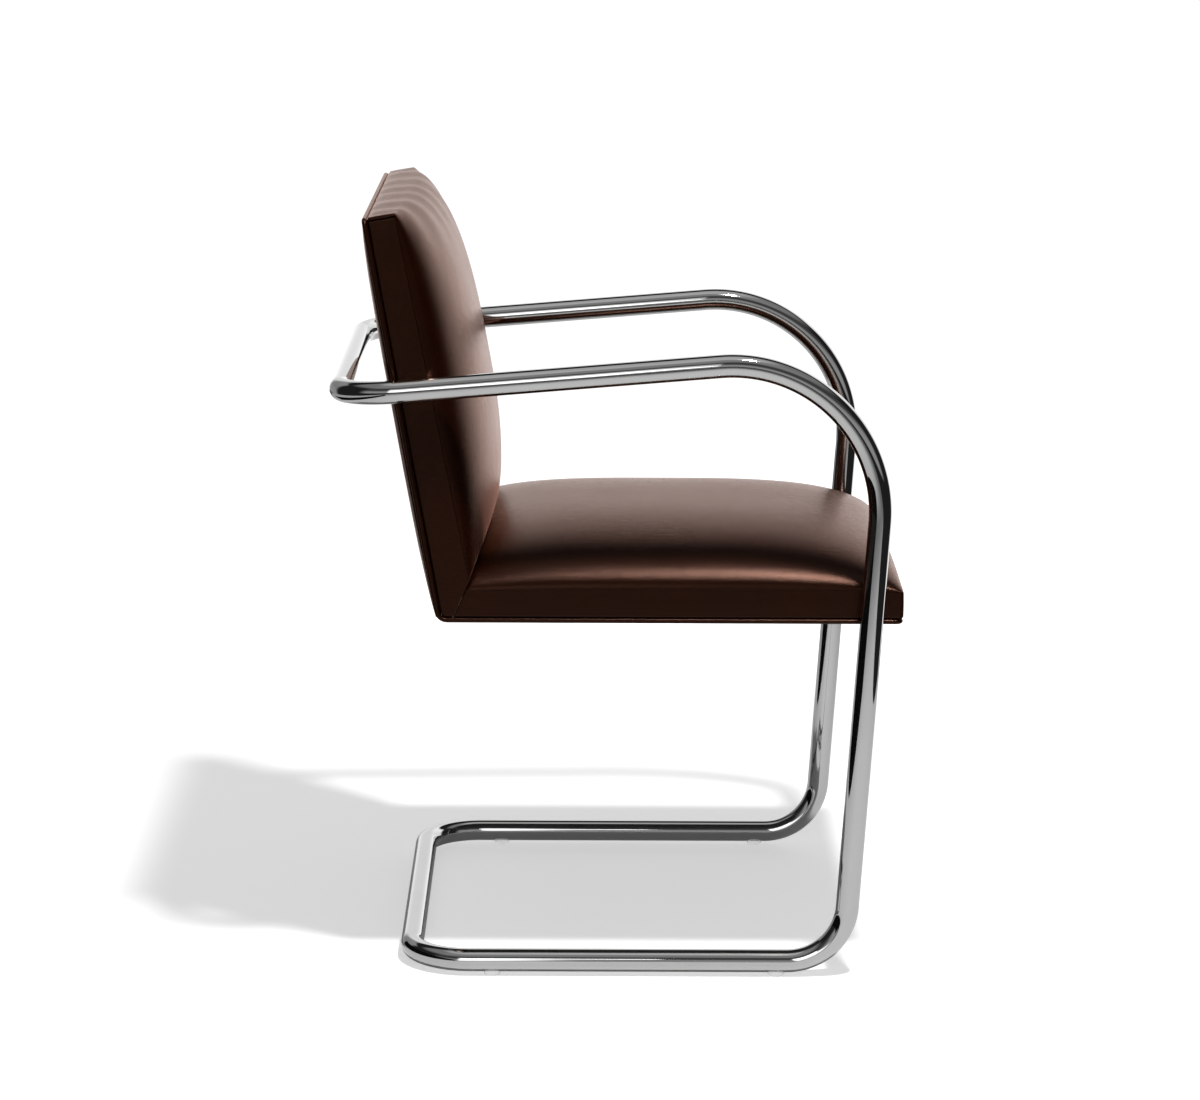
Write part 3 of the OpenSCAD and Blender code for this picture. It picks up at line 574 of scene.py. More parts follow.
def resampled(field, shape):
    """A coarse field on a finer grid of the same parameters: straight lines between its points."""
    rows = np.linspace(0, field.shape[0] - 1, shape[0])
    cols = np.linspace(0, field.shape[1] - 1, shape[1])
    i = np.minimum(rows.astype(int), field.shape[0] - 2)
    j = np.minimum(cols.astype(int), field.shape[1] - 2)
    fi, fj = (rows - i)[:, None, None], (cols - j)[None, :, None]
    a, b = field[i][:, j], field[i][:, j + 1]
    c, d = field[i + 1][:, j], field[i + 1][:, j + 1]
    return (a * (1 - fj) + b * fj) * (1 - fi) + (c * (1 - fj) + d * fj) * fi


def settle(outer, lining):
    """Lets the leather settle over its filling: Blender's cloth on a coarse copy of the cushion,
    its seams and lining pinned, a little larger than the shape, under pressure, without gravity.
    Returns how far each outer point moved, in millimetres of the drawing frame and no further than
    the cap."""
    points, faces = between(outer, lining)
    metres = place(points)
    if volume(metres, faces) < 0:
        faces = [f[:, ::-1] for f in faces]
    mesh = bpy.data.meshes.new("settling")
    mesh.from_pydata(metres.tolist(), [], faces[0].tolist())
    obj = bpy.data.objects.new("settling", mesh)
    scene = bpy.context.scene
    scene.collection.objects.link(obj)
    rows, cols = outer.shape[:2]
    held = np.ones((2 * rows, cols), bool)
    held[1:rows - 1, 1:-1] = False
    group = obj.vertex_groups.new(name="seams")
    group.add(np.flatnonzero(held).tolist(), 1.0, "REPLACE")
    cloth = obj.modifiers.new("leather", "CLOTH")
    cloth.settings.quality = 6
    cloth.settings.mass = 0.4
    cloth.settings.tension_stiffness = cloth.settings.compression_stiffness = 20
    cloth.settings.bending_stiffness = 6
    cloth.settings.shrink_min = -SETTLE_GROWTH
    cloth.settings.use_pressure = True
    cloth.settings.uniform_pressure_force = SETTLE_PRESSURE
    cloth.settings.effector_weights.gravity = 0
    cloth.settings.vertex_group_mass = "seams"
    cloth.collision_settings.use_collision = False
    cloth.point_cache.frame_start, cloth.point_cache.frame_end = 1, SETTLE_FRAMES
    for number in range(1, SETTLE_FRAMES + 1):
        scene.frame_set(number)
    moved = obj.evaluated_get(bpy.context.evaluated_depsgraph_get()).to_mesh()
    after = np.zeros(len(moved.vertices) * 3)
    moved.vertices.foreach_get("co", after)
    shift = (after.reshape(-1, 3) - metres)[:rows * cols].reshape(rows, cols, 3) / MM
    bpy.data.objects.remove(obj, do_unlink=True)
    bpy.data.meshes.remove(mesh)
    scene.frame_set(1)
    size = np.linalg.norm(shift, axis=-1, keepdims=True)
    shift = shift * np.minimum(1, SETTLE_CAP / np.maximum(size, 1e-9))
    return np.stack([-shift[..., 1], shift[..., 0], shift[..., 2]], -1)


def creased(outer, coarse_outer, coarse_lining):
    """The fine sheet with what the settled coarse one adds: its fine creases and a share of its
    slow swelling, so that the crown keeps its measured height."""
    shift = settle(coarse_outer, coarse_lining)
    slow = blurred(shift, 14)
    return outer + blurred(resampled((shift - slow) + slow * SWELL_SHARE, outer.shape), 2)


def seam_marks(distance):
    """Attributes of the leather from the distance to its slits: how near a seam it is, for the
    painted shade along the seam, and how deep in a slit, for the slit's painted shade. The inner
    sheet's points, as many again, have none."""
    near = dip(distance, 4.0).ravel()
    slit = np.clip((1.6 - distance) / 0.9, 0, 1).ravel()
    return {"by_seam": np.pad(near, (0, near.size)),
            "slit": np.pad(slit * slit * (3 - 2 * slit), (0, slit.size))}


def tucked(grid, depth):
    """A grid with one column more at each side, turned in by the depth behind the side seam."""
    inward = grid - np.sign(grid) * np.array([0, depth, 0])
    return np.concatenate([inward[:, :1], grid, inward[:, -1:]], 1)


def cushion(name, outer, lining, normals, lift, mitre, slit, nodes):
    """Makes a padded cushion in the place of its nodes. The outer sheet moves along its normals by
    the lift, less a groove along the mitre. The last two fields are the distances of its points
    from the mitre and from the slit."""
    outer = outer + normals * (lift - dip(mitre, GROOVE))[..., None]
    points, faces = between(tucked(outer, TUCK), tucked(lining, 0))
    marks = seam_marks(np.pad(np.minimum(near_mitre(mitre), slit), ((0, 0), (1, 1)), "edge"))
    obj = piece(name, place(points), faces, leather_finish("cushion_leather"), marks)
    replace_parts(obj, *nodes)


def near_mitre(distance):
    """A mitre seam is finer than a slit, so it counts as further off."""
    return distance * 1.8 + 0.6


# Shader maths. Noise and cell scales are per metre, and a bump's distance is in metres

def add_node(tree, kind, settings=None, values=None):
    """Adds a node: its settings first, then the values of its sockets, or the wires and sockets
    that are linked to them."""
    node = tree.nodes.new(kind)
    for key, value in (settings or {}).items():
        setattr(node, key, value)
    for key, value in (values or {}).items():
        entry = node.inputs[key]
        if isinstance(value, Wire):
            value = value.socket
        if isinstance(value, bpy.types.NodeSocket):
            tree.links.new(value, entry)
        elif entry.type == "RGBA":
            entry.default_value = (*value, 1.0)
        else:
            entry.default_value = value
    return node


def both_ways(operation):
    """An operator of Wire and its reflected form, as in 1 - wire."""
    def plain(wire, other):
        return wire.maths(operation, wire, other)

    def reflected(wire, other):
        return wire.maths(operation, other, wire)

    return plain, reflected


class Wire:
    """A value socket. Python's operators on it add Math nodes."""

    def __init__(self, tree, socket):
        self.tree, self.socket = tree, socket

    def maths(self, operation, *values):
        node = add_node(self.tree, "ShaderNodeMath", {"operation": operation},
                        dict(enumerate(values)))
        return Wire(self.tree, node.outputs[0])

    __add__, __radd__ = both_ways("ADD")
    __sub__, __rsub__ = both_ways("SUBTRACT")
    __mul__, __rmul__ = both_ways("MULTIPLY")
    __truediv__, __rtruediv__ = both_ways("DIVIDE")
    __pow__, __rpow__ = both_ways("POWER")

    def wave(self):
        return self.maths("SINE", self)

    def most(self, other):
        return self.maths("MAXIMUM", self, other)

    def between(self, low, high, start=0.0, end=1.0):
        """Smoothly from start to end as the value goes from low to high."""
        node = add_node(self.tree, "ShaderNodeMapRange", {"interpolation_type": "SMOOTHSTEP"}, {
            "Value": self, "From Min": low, "From Max": high, "To Min": start, "To Max": end})
        return Wire(self.tree, node.outputs["Result"])


class Finish:
    """A node material for one finish, or any other node tree with the same helpers."""

    def __init__(self, name, tree=None):
        if tree is None:
            self.material = bpy.data.materials.new(name)
            self.material.use_nodes = True
            tree = self.material.node_tree
        self.tree = tree
        tree.nodes.clear()

    def node(self, kind, settings=None, values=None):
        return add_node(self.tree, kind, settings, values)

    def wire(self, node, name):
        return Wire(self.tree, node.outputs[name])

    def axes(self, vector):
        """The three parts of a vector, as wires."""
        parts = self.node("ShaderNodeSeparateXYZ", None, {"Vector": vector})
        return tuple(self.wire(parts, axis) for axis in "XYZ")

    def places(self, scale=(1, 1, 1)):
        """Object coordinates, stretched."""
        spot = self.node("ShaderNodeTexCoord").outputs["Object"]
        mapped = self.node("ShaderNodeMapping", None, {"Vector": spot, "Scale": scale})
        return mapped.outputs["Vector"]

    def noise(self, spot, scale, detail=3.0, roughness=0.55):
        return self.wire(self.node("ShaderNodeTexNoise", None, {
            "Vector": spot, "Scale": scale, "Detail": detail, "Roughness": roughness}), "Fac")

    def cells(self, spot, scale, feature="F1", randomness=1.0):
        return self.wire(self.node("ShaderNodeTexVoronoi", {"feature": feature}, {
            "Vector": spot, "Scale": scale, "Randomness": randomness}), "Distance")

    def mix(self, share, first, second):
        """A colour between two colours, by a share."""
        node = self.node("ShaderNodeMix", {"data_type": "RGBA"}, {0: share, 6: first, 7: second})
        return node.outputs[2]

    def bump(self, height, distance, strength=1.0, normal=None):
        values = {"Height": height, "Distance": distance, "Strength": strength}
        if normal is not None:
            values["Normal"] = normal
        return self.node("ShaderNodeBump", None, values).outputs["Normal"]

    def shade(self, **sockets):
        """Ends the tree in one Principled shader. Underscores in the names stand for spaces."""
        shader = self.node("ShaderNodeBsdfPrincipled", None, {
            key.replace("_", " "): value for key, value in sockets.items()})
        self.node("ShaderNodeOutputMaterial", None, {"Surface": shader.outputs["BSDF"]})
        return self.material


_made = {}


def once(build):
    """Builds a finish the first time it is asked for, and hands the same one out after that."""
    def ask(name=None):
        key = name or build.__name__
        if key not in _made:
            _made[key] = build(key)
        return _made[key]
    return ask


def darker(tint, share):
    """A colour times a share, also over 1 for a paler one."""
    return tuple(c * share for c in tint)


@once
def chrome_finish(name):
    """Polished chrome: faint smudges in the gloss, fine polishing lines, a barely uneven tint."""
    f = Finish(name)
    spot = f.places()
    smudge = f.noise(spot, 14, 5, 0.6).between(0.42, 0.72)
    lines = f.noise(f.places((900, 900, 900)), 1.0, 2, 0.5)
    specks = f.cells(spot, 650).between(0.02, 0.10, 1, 0)
    tint = f.mix(smudge * 0.5, tuple(tints().chrome), darker(tints().chrome, 0.93))
    return f.shade(Base_Color=tint, Metallic=1.0,
                   Roughness=0.036 + smudge * 0.022 + specks * 0.006,
                   Normal=f.bump(lines, 0.0000002, 0.5))


@once
def leather_finish(name):
    """Aniline leather: pebbled grain of two sizes with fine creases between the pebbles, a slow
    change of tone, painted shade along the seams, which are glossier too, the slits painted near
    black as their shade, and a grazing sheen."""
    f = Finish(name)
    spot = f.places()
    by_seam = f.wire(f.node("ShaderNodeAttribute", {"attribute_name": "by_seam"}), "Fac")
    slit = f.wire(f.node("ShaderNodeAttribute", {"attribute_name": "slit"}), "Fac")
    wobble = f.noise(spot, 240, 2, 0.5)
    pebble = f.cells(spot, 780, "DISTANCE_TO_EDGE").between(0.0, 0.22)
    fine = f.cells(spot, 1900, "DISTANCE_TO_EDGE").between(0.0, 0.3)
    slow = f.noise(spot, 9, 4, 0.55)
    streak = f.noise(f.places((40, 7, 40)), 3.0, 4, 0.6)
    grain = pebble * 0.65 + fine * 0.35 + wobble * 0.5
    base = tuple(tints().leather)
    tone = f.mix(slow.between(0.3, 0.7), darker(base, 0.86), darker(base, 1.16))
    tone = f.mix(pebble.between(0.0, 0.6, 0.28, 0.0), tone, darker(base, 0.45))
    # painted shade: darker along the seams, as the shade in their grooves
    tone = f.mix(by_seam * 0.4, tone, darker(base, 0.5))
    # painted shade: the slits are painted near black
    tone = f.mix(slit, tone, darker(base, 0.1))
    rough = 0.21 + slow * 0.06 + streak * 0.05 - pebble * 0.05 - by_seam * 0.03
    bent = f.bump(slow, 0.0012, 0.2)
    # painted shade: the slits also turn fully metallic over that near-black tone, which paints out
    # their reflections
    return f.shade(Base_Color=tone, Roughness=rough, Normal=f.bump(grain, 0.00012, 0.38, bent),
                   Metallic=0.42 + slit * 0.58, Specular_IOR_Level=0.30,
                   Specular_Tint=(1.0, 0.64, 0.50), Sheen_Weight=0.20, Sheen_Roughness=0.30,
                   Sheen_Tint=(1.0, 0.42, 0.30))


@once
def steel_finish(name):
    """Turned steel: fine lines round the part, a soft change of tone and dull specks."""
    f = Finish(name)
    lines = f.noise(f.places((3000, 500, 3000)), 1.0, 3, 0.6)
    slow = f.noise(f.places(), 60, 3, 0.5)
    tint = f.mix(slow, tuple(tints().steel), darker(tints().steel, 0.75))
    return f.shade(Base_Color=tint, Metallic=1.0, Roughness=0.22 + lines * 0.15,
                   Normal=f.bump(lines, 0.00001, 0.4))


@once
def plastic_finish(name):
    """Clear moulded plastic: see-through, with a faint moulded texture and dull scuffs."""
    f = Finish(name)
    fine = f.noise(f.places(), 2600, 3, 0.6)
    scuff = f.noise(f.places(), 180, 4, 0.7).between(0.55, 0.7)
    tint = f.mix(scuff, tuple(tints().glide), darker(tints().glide, 0.85))
    return f.shade(Base_Color=tint, Roughness=0.08 + fine * 0.05 + scuff * 0.2, IOR=1.49,
                   Alpha=0.26 + scuff * 0.06, Normal=f.bump(fine, 0.00002, 0.4))


@once
def timber_finish(name):
    """Beech: stretched rings, fine pores along the grain and a slow change of tone."""
    f = Finish(name)
    spot = f.places((9, 60, 60))
    rings = (f.noise(spot, 1.0, 3, 0.5) * 40.0).wave() * 0.5 + 0.5
    pores = f.noise(f.places((200, 2400, 2400)), 1.0, 2, 0.5).between(0.55, 0.7)
    base = tuple(tints().timber)
    tone = f.mix(rings, darker(base, 0.82), base)
    tone = f.mix(pores * 0.5, tone, darker(base, 0.45))
    return f.shade(Base_Color=tone, Roughness=0.55 + pores * 0.2,
                   Normal=f.bump(pores, 0.00008, -0.4))


def woven(name, base, pitch, shine):
    """Plain weave: two sets of ridges a pitch apart, over and under by turns."""
    f = Finish(name)
    spot = f.places()
    x, y, z = f.axes(spot)
    rate = 2 * math.pi / pitch
    warp = (x * rate).wave()
    weft = ((y + z) * rate).wave()
    ridge = (warp * weft) * 0.5 + 0.5
    fuzz = f.noise(spot, 3000, 3, 0.6)
    tone = f.mix(ridge * 0.6 + fuzz * 0.3, darker(base, 0.5), darker(base, 1.3))
    return f.shade(Base_Color=tone, Roughness=0.9 - ridge * shine,
                   Normal=f.bump(ridge + fuzz * 0.3, pitch / 6, 0.6))


@once
def webbing_finish(name):
    return woven(name, tuple(tints().webbing), 0.0022, 0.15)


@once
def dust_cloth_finish(name):
    """Spun non-woven cloth: matted fibres and small embossed points."""
    f = Finish(name)
    spot = f.places()
    fibres = f.noise(f.places((260, 900, 260)), 1.0, 5, 0.7)
    points = f.cells(spot, 420, "F1", 0.05).between(0.12, 0.3, 1, 0)
    base = tuple(tints().dust_cloth)
    tone = f.mix(fibres * 0.7 + points * 0.3, darker(base, 0.7), darker(base, 1.5))
    return f.shade(Base_Color=tone, Roughness=0.88 - points * 0.2,
                   Normal=f.bump(fibres - points * 0.6, 0.00015, 0.5))


# Pieces

class CHAIR_OT_tube_loop(bpy.types.Operator):
    """Makes the chrome loop: two bent side tubes and two straight rear bars. Each is a circle
    carried along straights and arcs, with flush ends at the butt joints"""
    bl_idname = "chair.tube_loop"
    bl_label = "Chrome tube loop"

    def execute(self, context):
        t, k = tube(), loop_numbers()
        for name, sign in (("left", 1), ("right", -1)):
            obj = make_tube("chrome_side_" + name, side_tube_path(sign))
            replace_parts(obj, "side_tube_" + name)
        for name, x, z in (("arm", -mm(t.arm_back), mm(t.arm_h)), ("floor", 0, k["run_z"])):
            path = walk([x, -k["bar"] / 2, z], [0, 1, 0], [1, 0, 0], [("go", k["bar"])],
                        STEP, TURN_STEP)
            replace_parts(make_tube("chrome_bar_" + name, path), "rear_%s_bar" % name)
        return {"FINISHED"}


class CHAIR_OT_seat_cushion(bpy.types.Operator):
    """Makes the crowned seat cushion, settled as cloth over its filling, with slow unevenness and
    fine puckers along its side seams"""
    bl_idname = "chair.seat_cushion"
    bl_label = "Seat cushion"

    def execute(self, context):
        pad = Pad()
        outer, lining, info = seat_grids(pad, *SEAT_FINE)
        outer = creased(outer, *seat_grids(pad, *SEAT_COARSE)[:2])
        x, y, z = np.moveaxis(outer, -1, 0)
        side = pad.half - np.abs(y)
        slow = waves(x / 55, y / 60, 2.0) * 0.10 * (1 - dip(side, 30))
        pucker = waves(x / 6.5, z / 40, 5.0, 3) * 0.10 * dip(side, 9)
        normals = grid_normals(outer, SEAT_FINE[1], 2)
        cushion("seat_cushion", outer, lining, normals, slow + pucker, info["mitre"], info["welt"],
                ("seat_cover", "seat_foam"))
        return {"FINISHED"}


class CHAIR_OT_back_cushion(bpy.types.Operator):
    """Makes the crowned back cushion, settled as cloth over its filling, with soft ripples over its
    top edge: a sine across the width, wandering a little, that dies away down the front"""
    bl_idname = "chair.back_cushion"
    bl_label = "Back cushion"

    def execute(self, context):
        pad = Pad()
        outer, lining, info = back_grids(pad, *BACK_FINE)
        outer = creased(outer, *back_grids(pad, *BACK_COARSE)[:2])
        y, b = outer[..., 1], info["b"]
        side, below = pad.half - np.abs(y), pad.length - b
        phase = 2 * np.pi * y / RIPPLE_LENGTH + 1.2 * waves(y / 90, below / 120, 1.0, 2)
        fade = np.exp(-(np.maximum(below, 0) / RIPPLE_FADE) ** 2) * (1 - dip(side, 16)) \
            * (1 - dip(info["welt"], 5))
        strength = 0.72 + 0.45 * waves(y / 70, below / 150, 3.0, 2)
        ripples = mm(pads().ripple) * np.sin(phase) * fade * strength
        slow = waves(b / 60, y / 55, 4.0) * 0.14 * (1 - dip(side, 30))
        pucker = waves(b / 7, y / 40, 6.0, 3) * 0.08 * dip(side, 9)
        normals = grid_normals(outer, BACK_FINE[1], 0)
        cushion("back_cushion", outer, lining, normals, ripples + slow + pucker, info["mitre"],
                info["welt"] * 0.55, ("back_cover", "back_foam"))
        return {"FINISHED"}


def panel_sheet(name, pad, sign, flat, soft, slit, mitre, node):
    """A flat leather panel: a grid of side-plane points (x, z) whose outer face turns in a little
    at its soft seams, steps back into the slits and swells by a fraction of a millimetre."""
    x, z = np.moveaxis(flat, -1, 0)
    distance = np.minimum.reduce([soft, slit, mitre])
    swell = PANEL_SWELL * (1 - dip(distance, 9))
    uneven = waves(x / 45, z / 38, 7.0, 3) * 0.10
    stepped = np.maximum(recess(slit), 0.5 * dip(mitre, 0.9))
    y_out = pad.half - PANEL_INSET - roll(soft, PANEL_ROLL) - stepped + swell \
        + uneven * (1 - dip(distance, 5))
    y_in = np.full(x.shape, pad.half - pad.leather)
    y_out = np.maximum(y_out, y_in + 0.02)
    points, faces = between(np.stack([x, sign * y_out, z], -1), np.stack([x, sign * y_in, z], -1))
    obj = piece(name, place(points), faces, leather_finish("panel_leather"),
                seam_marks(np.minimum(slit, near_mitre(mitre))))
    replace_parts(obj, node)


def seat_panel(pad, side, sign):
    """From the mitre to the front and from the bottom seam up to the side seam: straight lines
    between points of the two seams, and the distance to the nearest edge."""
    start = pad.seat_start(np.array([pad.half]))[0]
    low = pad.corner_x + SEAM_GAP / math.sin(pad.mitre)
    front = pad.front - pad.welt / 2 - PANEL_GAP
    u, v = closing(150), closing(34)[:, None]
    x_low, x_top = low + (front - low) * u, start + (front - start) * u
    top = pad.seat_edge(x_top) - PANEL_GAP
    x, z = (1 - v) * x_low + v * x_top, v * top
    soft = np.maximum(np.minimum(top - z, front - x), 0)
    mitre = np.maximum(pad.past_mitre(x, z) - SEAM_GAP, 0)
    panel_sheet("seat_panel_" + side, pad, sign, np.stack([x, z + pad.base], -1), soft, z, mitre,
                "seat_side_panels")


def back_panel(pad, side, sign):
    """From the foot to the top and from the rear seam to the front seam. The foot line runs round
    the rear corner, along the bottom and up the mitre; each point goes straight from it to the
    top, and its distance is to the nearest edge or to the corner's arc."""
    start = pad.back_start(np.array([pad.half]))[0]
    tangent = PANEL_CORNER * math.tan((math.pi / 2 - pad.lean) / 2)
    centre = np.array([pad.foot + tangent, pad.base + PANEL_CORNER])
    a = np.linspace(math.pi + pad.lean, 1.5 * math.pi, 12)
    arc = centre + PANEL_CORNER * np.stack([np.cos(a), np.sin(a)], -1)
    corner = np.array([pad.corner_x - SEAM_GAP / math.sin(pad.mitre), pad.base])
    meet = pad.back_point(start, pad.half, pad.back_edge(start) - PANEL_GAP)[[0, 2]]
    ahead = np.linspace(0, 1, 5)[1:, None]
    up = 1 - np.cos(np.linspace(0, np.pi / 2, 17)[1:, None])
    line = np.concatenate([arc, arc[-1] + (corner - arc[-1]) * ahead,
                           corner + (meet - corner) * up])
    share = np.concatenate([[0], np.cumsum(np.linalg.norm(np.diff(line, axis=0), axis=1))])
    v = closing(44)
    foot = np.stack([np.interp(v, share / share[-1], line[:, k]) for k in (0, 1)], -1)
    top_b = pad.length - PANEL_TOP
    head = pad.back_point(top_b, 0, v * (pad.back_edge(top_b) - PANEL_GAP))[:, [0, 2]]
    u = closing(150)[:, None, None]
    flat = foot * (1 - u) + head * u
    s, c = math.sin(pad.lean), math.cos(pad.lean)
    x, z = np.moveaxis(flat - [0, pad.base], -1, 0)
    d, b = (x - pad.foot) * c + z * s, z * c - (x - pad.foot) * s
    soft = np.maximum(pad.back_edge(b) - PANEL_GAP - d, 0)
    slit = np.minimum.reduce([d, top_b - b, z])
    rounded = PANEL_CORNER - np.linalg.norm(flat - centre, axis=-1)
    in_corner = (d < PANEL_CORNER) & (b < tangent + 1) & (x < centre[0])
    slit = np.maximum(np.where(in_corner, np.minimum(slit, rounded), slit), 0)
    mitre = np.maximum(-pad.past_mitre(x, z) - SEAM_GAP, 0)
    panel_sheet("back_panel_" + side, pad, sign, flat, soft, slit, mitre, "back_side_panels")


class CHAIR_OT_side_panels(bpy.types.Operator):
    """Makes the four side panels of seat and back, with rolled edges along their seams"""
    bl_idname = "chair.side_panels"
    bl_label = "Side panels"

    def execute(self, context):
        pad = Pad()
        for side, sign in (("left", 1), ("right", -1)):
            seat_panel(pad, side, sign)
            back_panel(pad, side, sign)
        return {"FINISHED"}


class CHAIR_OT_welt(bpy.types.Operator):
    """Makes the leather-covered welt: a slightly uneven circle carried along one closed loop, over
    the back's top, down its rear edges, along under the seat and across the front"""
    bl_idname = "chair.welt"
    bl_label = "Welt"

    def execute(self, context):
        pad = Pad()
        r = pad.welt / 2
        off, side, front_x, top_b = FIT + r, pad.half - r, pad.front - r, pad.length - r
        tangent = PANEL_CORNER * math.tan((math.pi / 2 - pad.lean) / 2)
        down = np.array([math.sin(pad.lean), 0, -math.cos(pad.lean)])
        ahead, left = np.array([1.0, 0, 0]), np.array([0, 1.0, 0])
        bend = math.degrees(math.pi / 2 - pad.lean)
        half_cross = side - WELT_CORNER
        fall = top_b - WELT_CORNER - tangent
        run = front_x - WELT_CORNER - (pad.foot + tangent)
        moves = [("go", half_cross), ("turn", WELT_CORNER, 90, down), ("go", fall),
                 ("turn", PANEL_CORNER + off, bend, ahead), ("go", run),
                 ("turn", WELT_CORNER, 90, -left), ("go", 2 * half_cross),
                 ("turn", WELT_CORNER, 90, -ahead), ("go", run),
                 ("turn", PANEL_CORNER + off, bend, -down), ("go", fall),
                 ("turn", WELT_CORNER, 90, left), ("go", half_cross)]
        path = walk(pad.back_point(top_b, 0.0, -off), left, down, moves, 4, 7.5)
        path = tuple(a[:-1] for a in path)
        share = np.linspace(0, 1, len(path[0]))
        uneven = 1 + 0.018 * waves(share * 160, 0 * share, 8.0, 3)
        rings = carry(path, r * uneven, ROUND_WELT)
        rows, cols = rings.shape[:2]
        j = np.arange(cols)
        n, last = (j + 1) % cols, (rows - 1) * cols
        seam = np.stack([last + j, j, n, last + n], -1)
        obj = piece("welt_loop", place(rings.reshape(-1, 3)), [grid_quads(rows, cols, True), seam],
                    leather_finish("welt_leather"))
        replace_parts(obj, "welt_left", "welt_right")
        return {"FINISHED"}


class CHAIR_OT_outer_back(bpy.types.Operator):
    """Makes the outer back panel inside the welt: a swell that is one crown along the back times
    another across it"""
    bl_idname = "chair.outer_back"
    bl_label = "Outer back panel"

    def execute(self, context):
        pad = Pad()
        half, low, high = pad.half - pad.welt - FIT, FIT, pad.length - pad.welt - FIT
        up = np.sin(np.linspace(-1, 1, 120) * np.pi / 2)[:, None]
        wide = np.sin(np.linspace(-1, 1, 130) * np.pi / 2)[None, :]
        b, y = (low + high) / 2 + (high - low) / 2 * up, half * wide
        rise = crown(up, *OUTER_UP) * crown(wide, *OUTER_ACROSS)
        uneven = waves(b / 70, y / 65, 9.0) * 0.35 * rise
        swell = pad.welt - FIT + mm(pads().swell) * rise + uneven
        outer, inner = pad.back_point(b, y, -FIT - swell), pad.back_point(b, y, -FIT + 0 * rise)
        seam = np.minimum(half - np.abs(y), np.minimum(b - low, high - b))
        points, faces = between(outer, inner)
        obj = piece("outer_back_pad", place(points), faces,
                    leather_finish("panel_leather"), seam_marks(seam))
        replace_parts(obj, "outer_back_panel")
        return {"FINISHED"}


class CHAIR_OT_fittings(bpy.types.Operator):
    """Gives each of the part's own nodes, shown or covered, its finish"""
    bl_idname = "chair.fittings"
    bl_label = "Fittings and hidden frame"

    def execute(self, context):
        groups = (
            (steel_finish, "joint_sleeves tube_inserts spacers fixing_bolts backing_plates "
                           "corner_plates plate_screws"),
            (plastic_finish, "floor_glides"),
            (timber_finish, "seat_side_rails seat_cross_rails back_stiles back_cross_rails "
                            "frame_dowels"),
            (webbing_finish, "seat_webbing back_webbing"),
            (dust_cloth_finish, "seat_bottom_cover"),
            (leather_finish, "seat_cover back_cover seat_side_panels back_side_panels welt_left "
                             "welt_right outer_back_panel seat_foam back_foam"),
            (chrome_finish, "side_tube_left side_tube_right rear_arm_bar rear_floor_bar"),
        )
        for finish, nodes in groups:
            for node in nodes.split():
                mesh = frame["nodes"][node].data
                mesh.materials.clear()
                mesh.materials.append(finish())
        return {"FINISHED"}


# Studio, in metres of the row's frame

def show(name, data):
    """An object of the scene's own, such as a lamp or the floor."""
    obj = bpy.data.objects.new(name, data)
    bpy.context.scene.collection.objects.link(obj)
    return obj


def lamp(name, power, size, spot, target):
    """A soft rectangular lamp at a spot, facing a target, that the camera doesn't see."""
    light = bpy.data.lights.new(name, "AREA")
    light.shape, light.energy = "RECTANGLE", power
    light.size, light.size_y = size
    obj = show(name, light)
    obj.visible_camera = False
    obj.location = spot
    obj.rotation_mode = "QUATERNION"
    obj.rotation_quaternion = (Vector(target) - Vector(spot)).to_track_quat("-Z", "Y")


def studio_floor():
    """A pale table under soft light that also glows, which is painted light. The camera sees it
    glow paler than the chrome does, as on the photograph's cleaned ground, and the glow grows
    whiter away from the chair, so no edge shows. A stretch on the far side ahead of the chair glows
    for the chrome too. The table is painted dark far to either side of the chair, where only the
    chrome's edges look, so they reflect painted shade."""
    xx, yy = np.meshgrid(np.linspace(*FLOOR_X, FLOOR_ROWS), np.linspace(*FLOOR_Y, FLOOR_ROWS),
                         indexing="ij")
    points = np.stack([xx, yy, 0 * xx], -1).reshape(-1, 3)
    mesh = bpy.data.meshes.new("studio_floor")
    mesh.from_pydata(points.tolist(), [], grid_quads(FLOOR_ROWS, FLOOR_ROWS).tolist())
    if mesh.polygons[0].normal.z < 0:
        mesh.flip_normals()
    f, pale = Finish("studio_floor"), tuple(tints().floor)
    x, y, _ = f.axes(f.places())
    y = y - 0.1
    mottle = f.noise(f.places(), 3, 4, 0.5)
    # painted light: for the camera the floor's glow grows from half to full white away from the
    # chair
    far_off = ((x * x + y * y) ** 0.5).between(0.9, 1.7)
    front = y.between(-0.1, 0.25, 1.0, 0.0)
    # painted shade: far to either side the table is painted dark, so the chrome's edges reflect
    # shade there
    dim = (x.between(1.5, 2.1) * y.between(-0.1, 0.25)).most(x.between(-3.4, -1.4, 0.75, 0.0))
    tone = f.mix(dim, f.mix(mottle * 0.12, pale, darker(pale, 0.95)), darker(pale, 0.15))
    seen = f.wire(f.node("ShaderNodeLightPath"), "Is Camera Ray")
    # painted light: the camera sees the floor glow, and a stretch on the far side ahead of the
    # chair glows for every ray
    lit = (seen * (0.50 + far_off * 0.50)).most(x.between(0.9, 2.4) * front * 0.6)
    glow = f.mix(lit, (0.05, 0.05, 0.05), (1.0, 1.0, 1.0))
    mesh.materials.append(f.shade(Base_Color=tone, Roughness=0.6, Specular_IOR_Level=0.1,
                                  Emission_Color=glow, Emission_Strength=1.0))
    show("studio_floor", mesh)


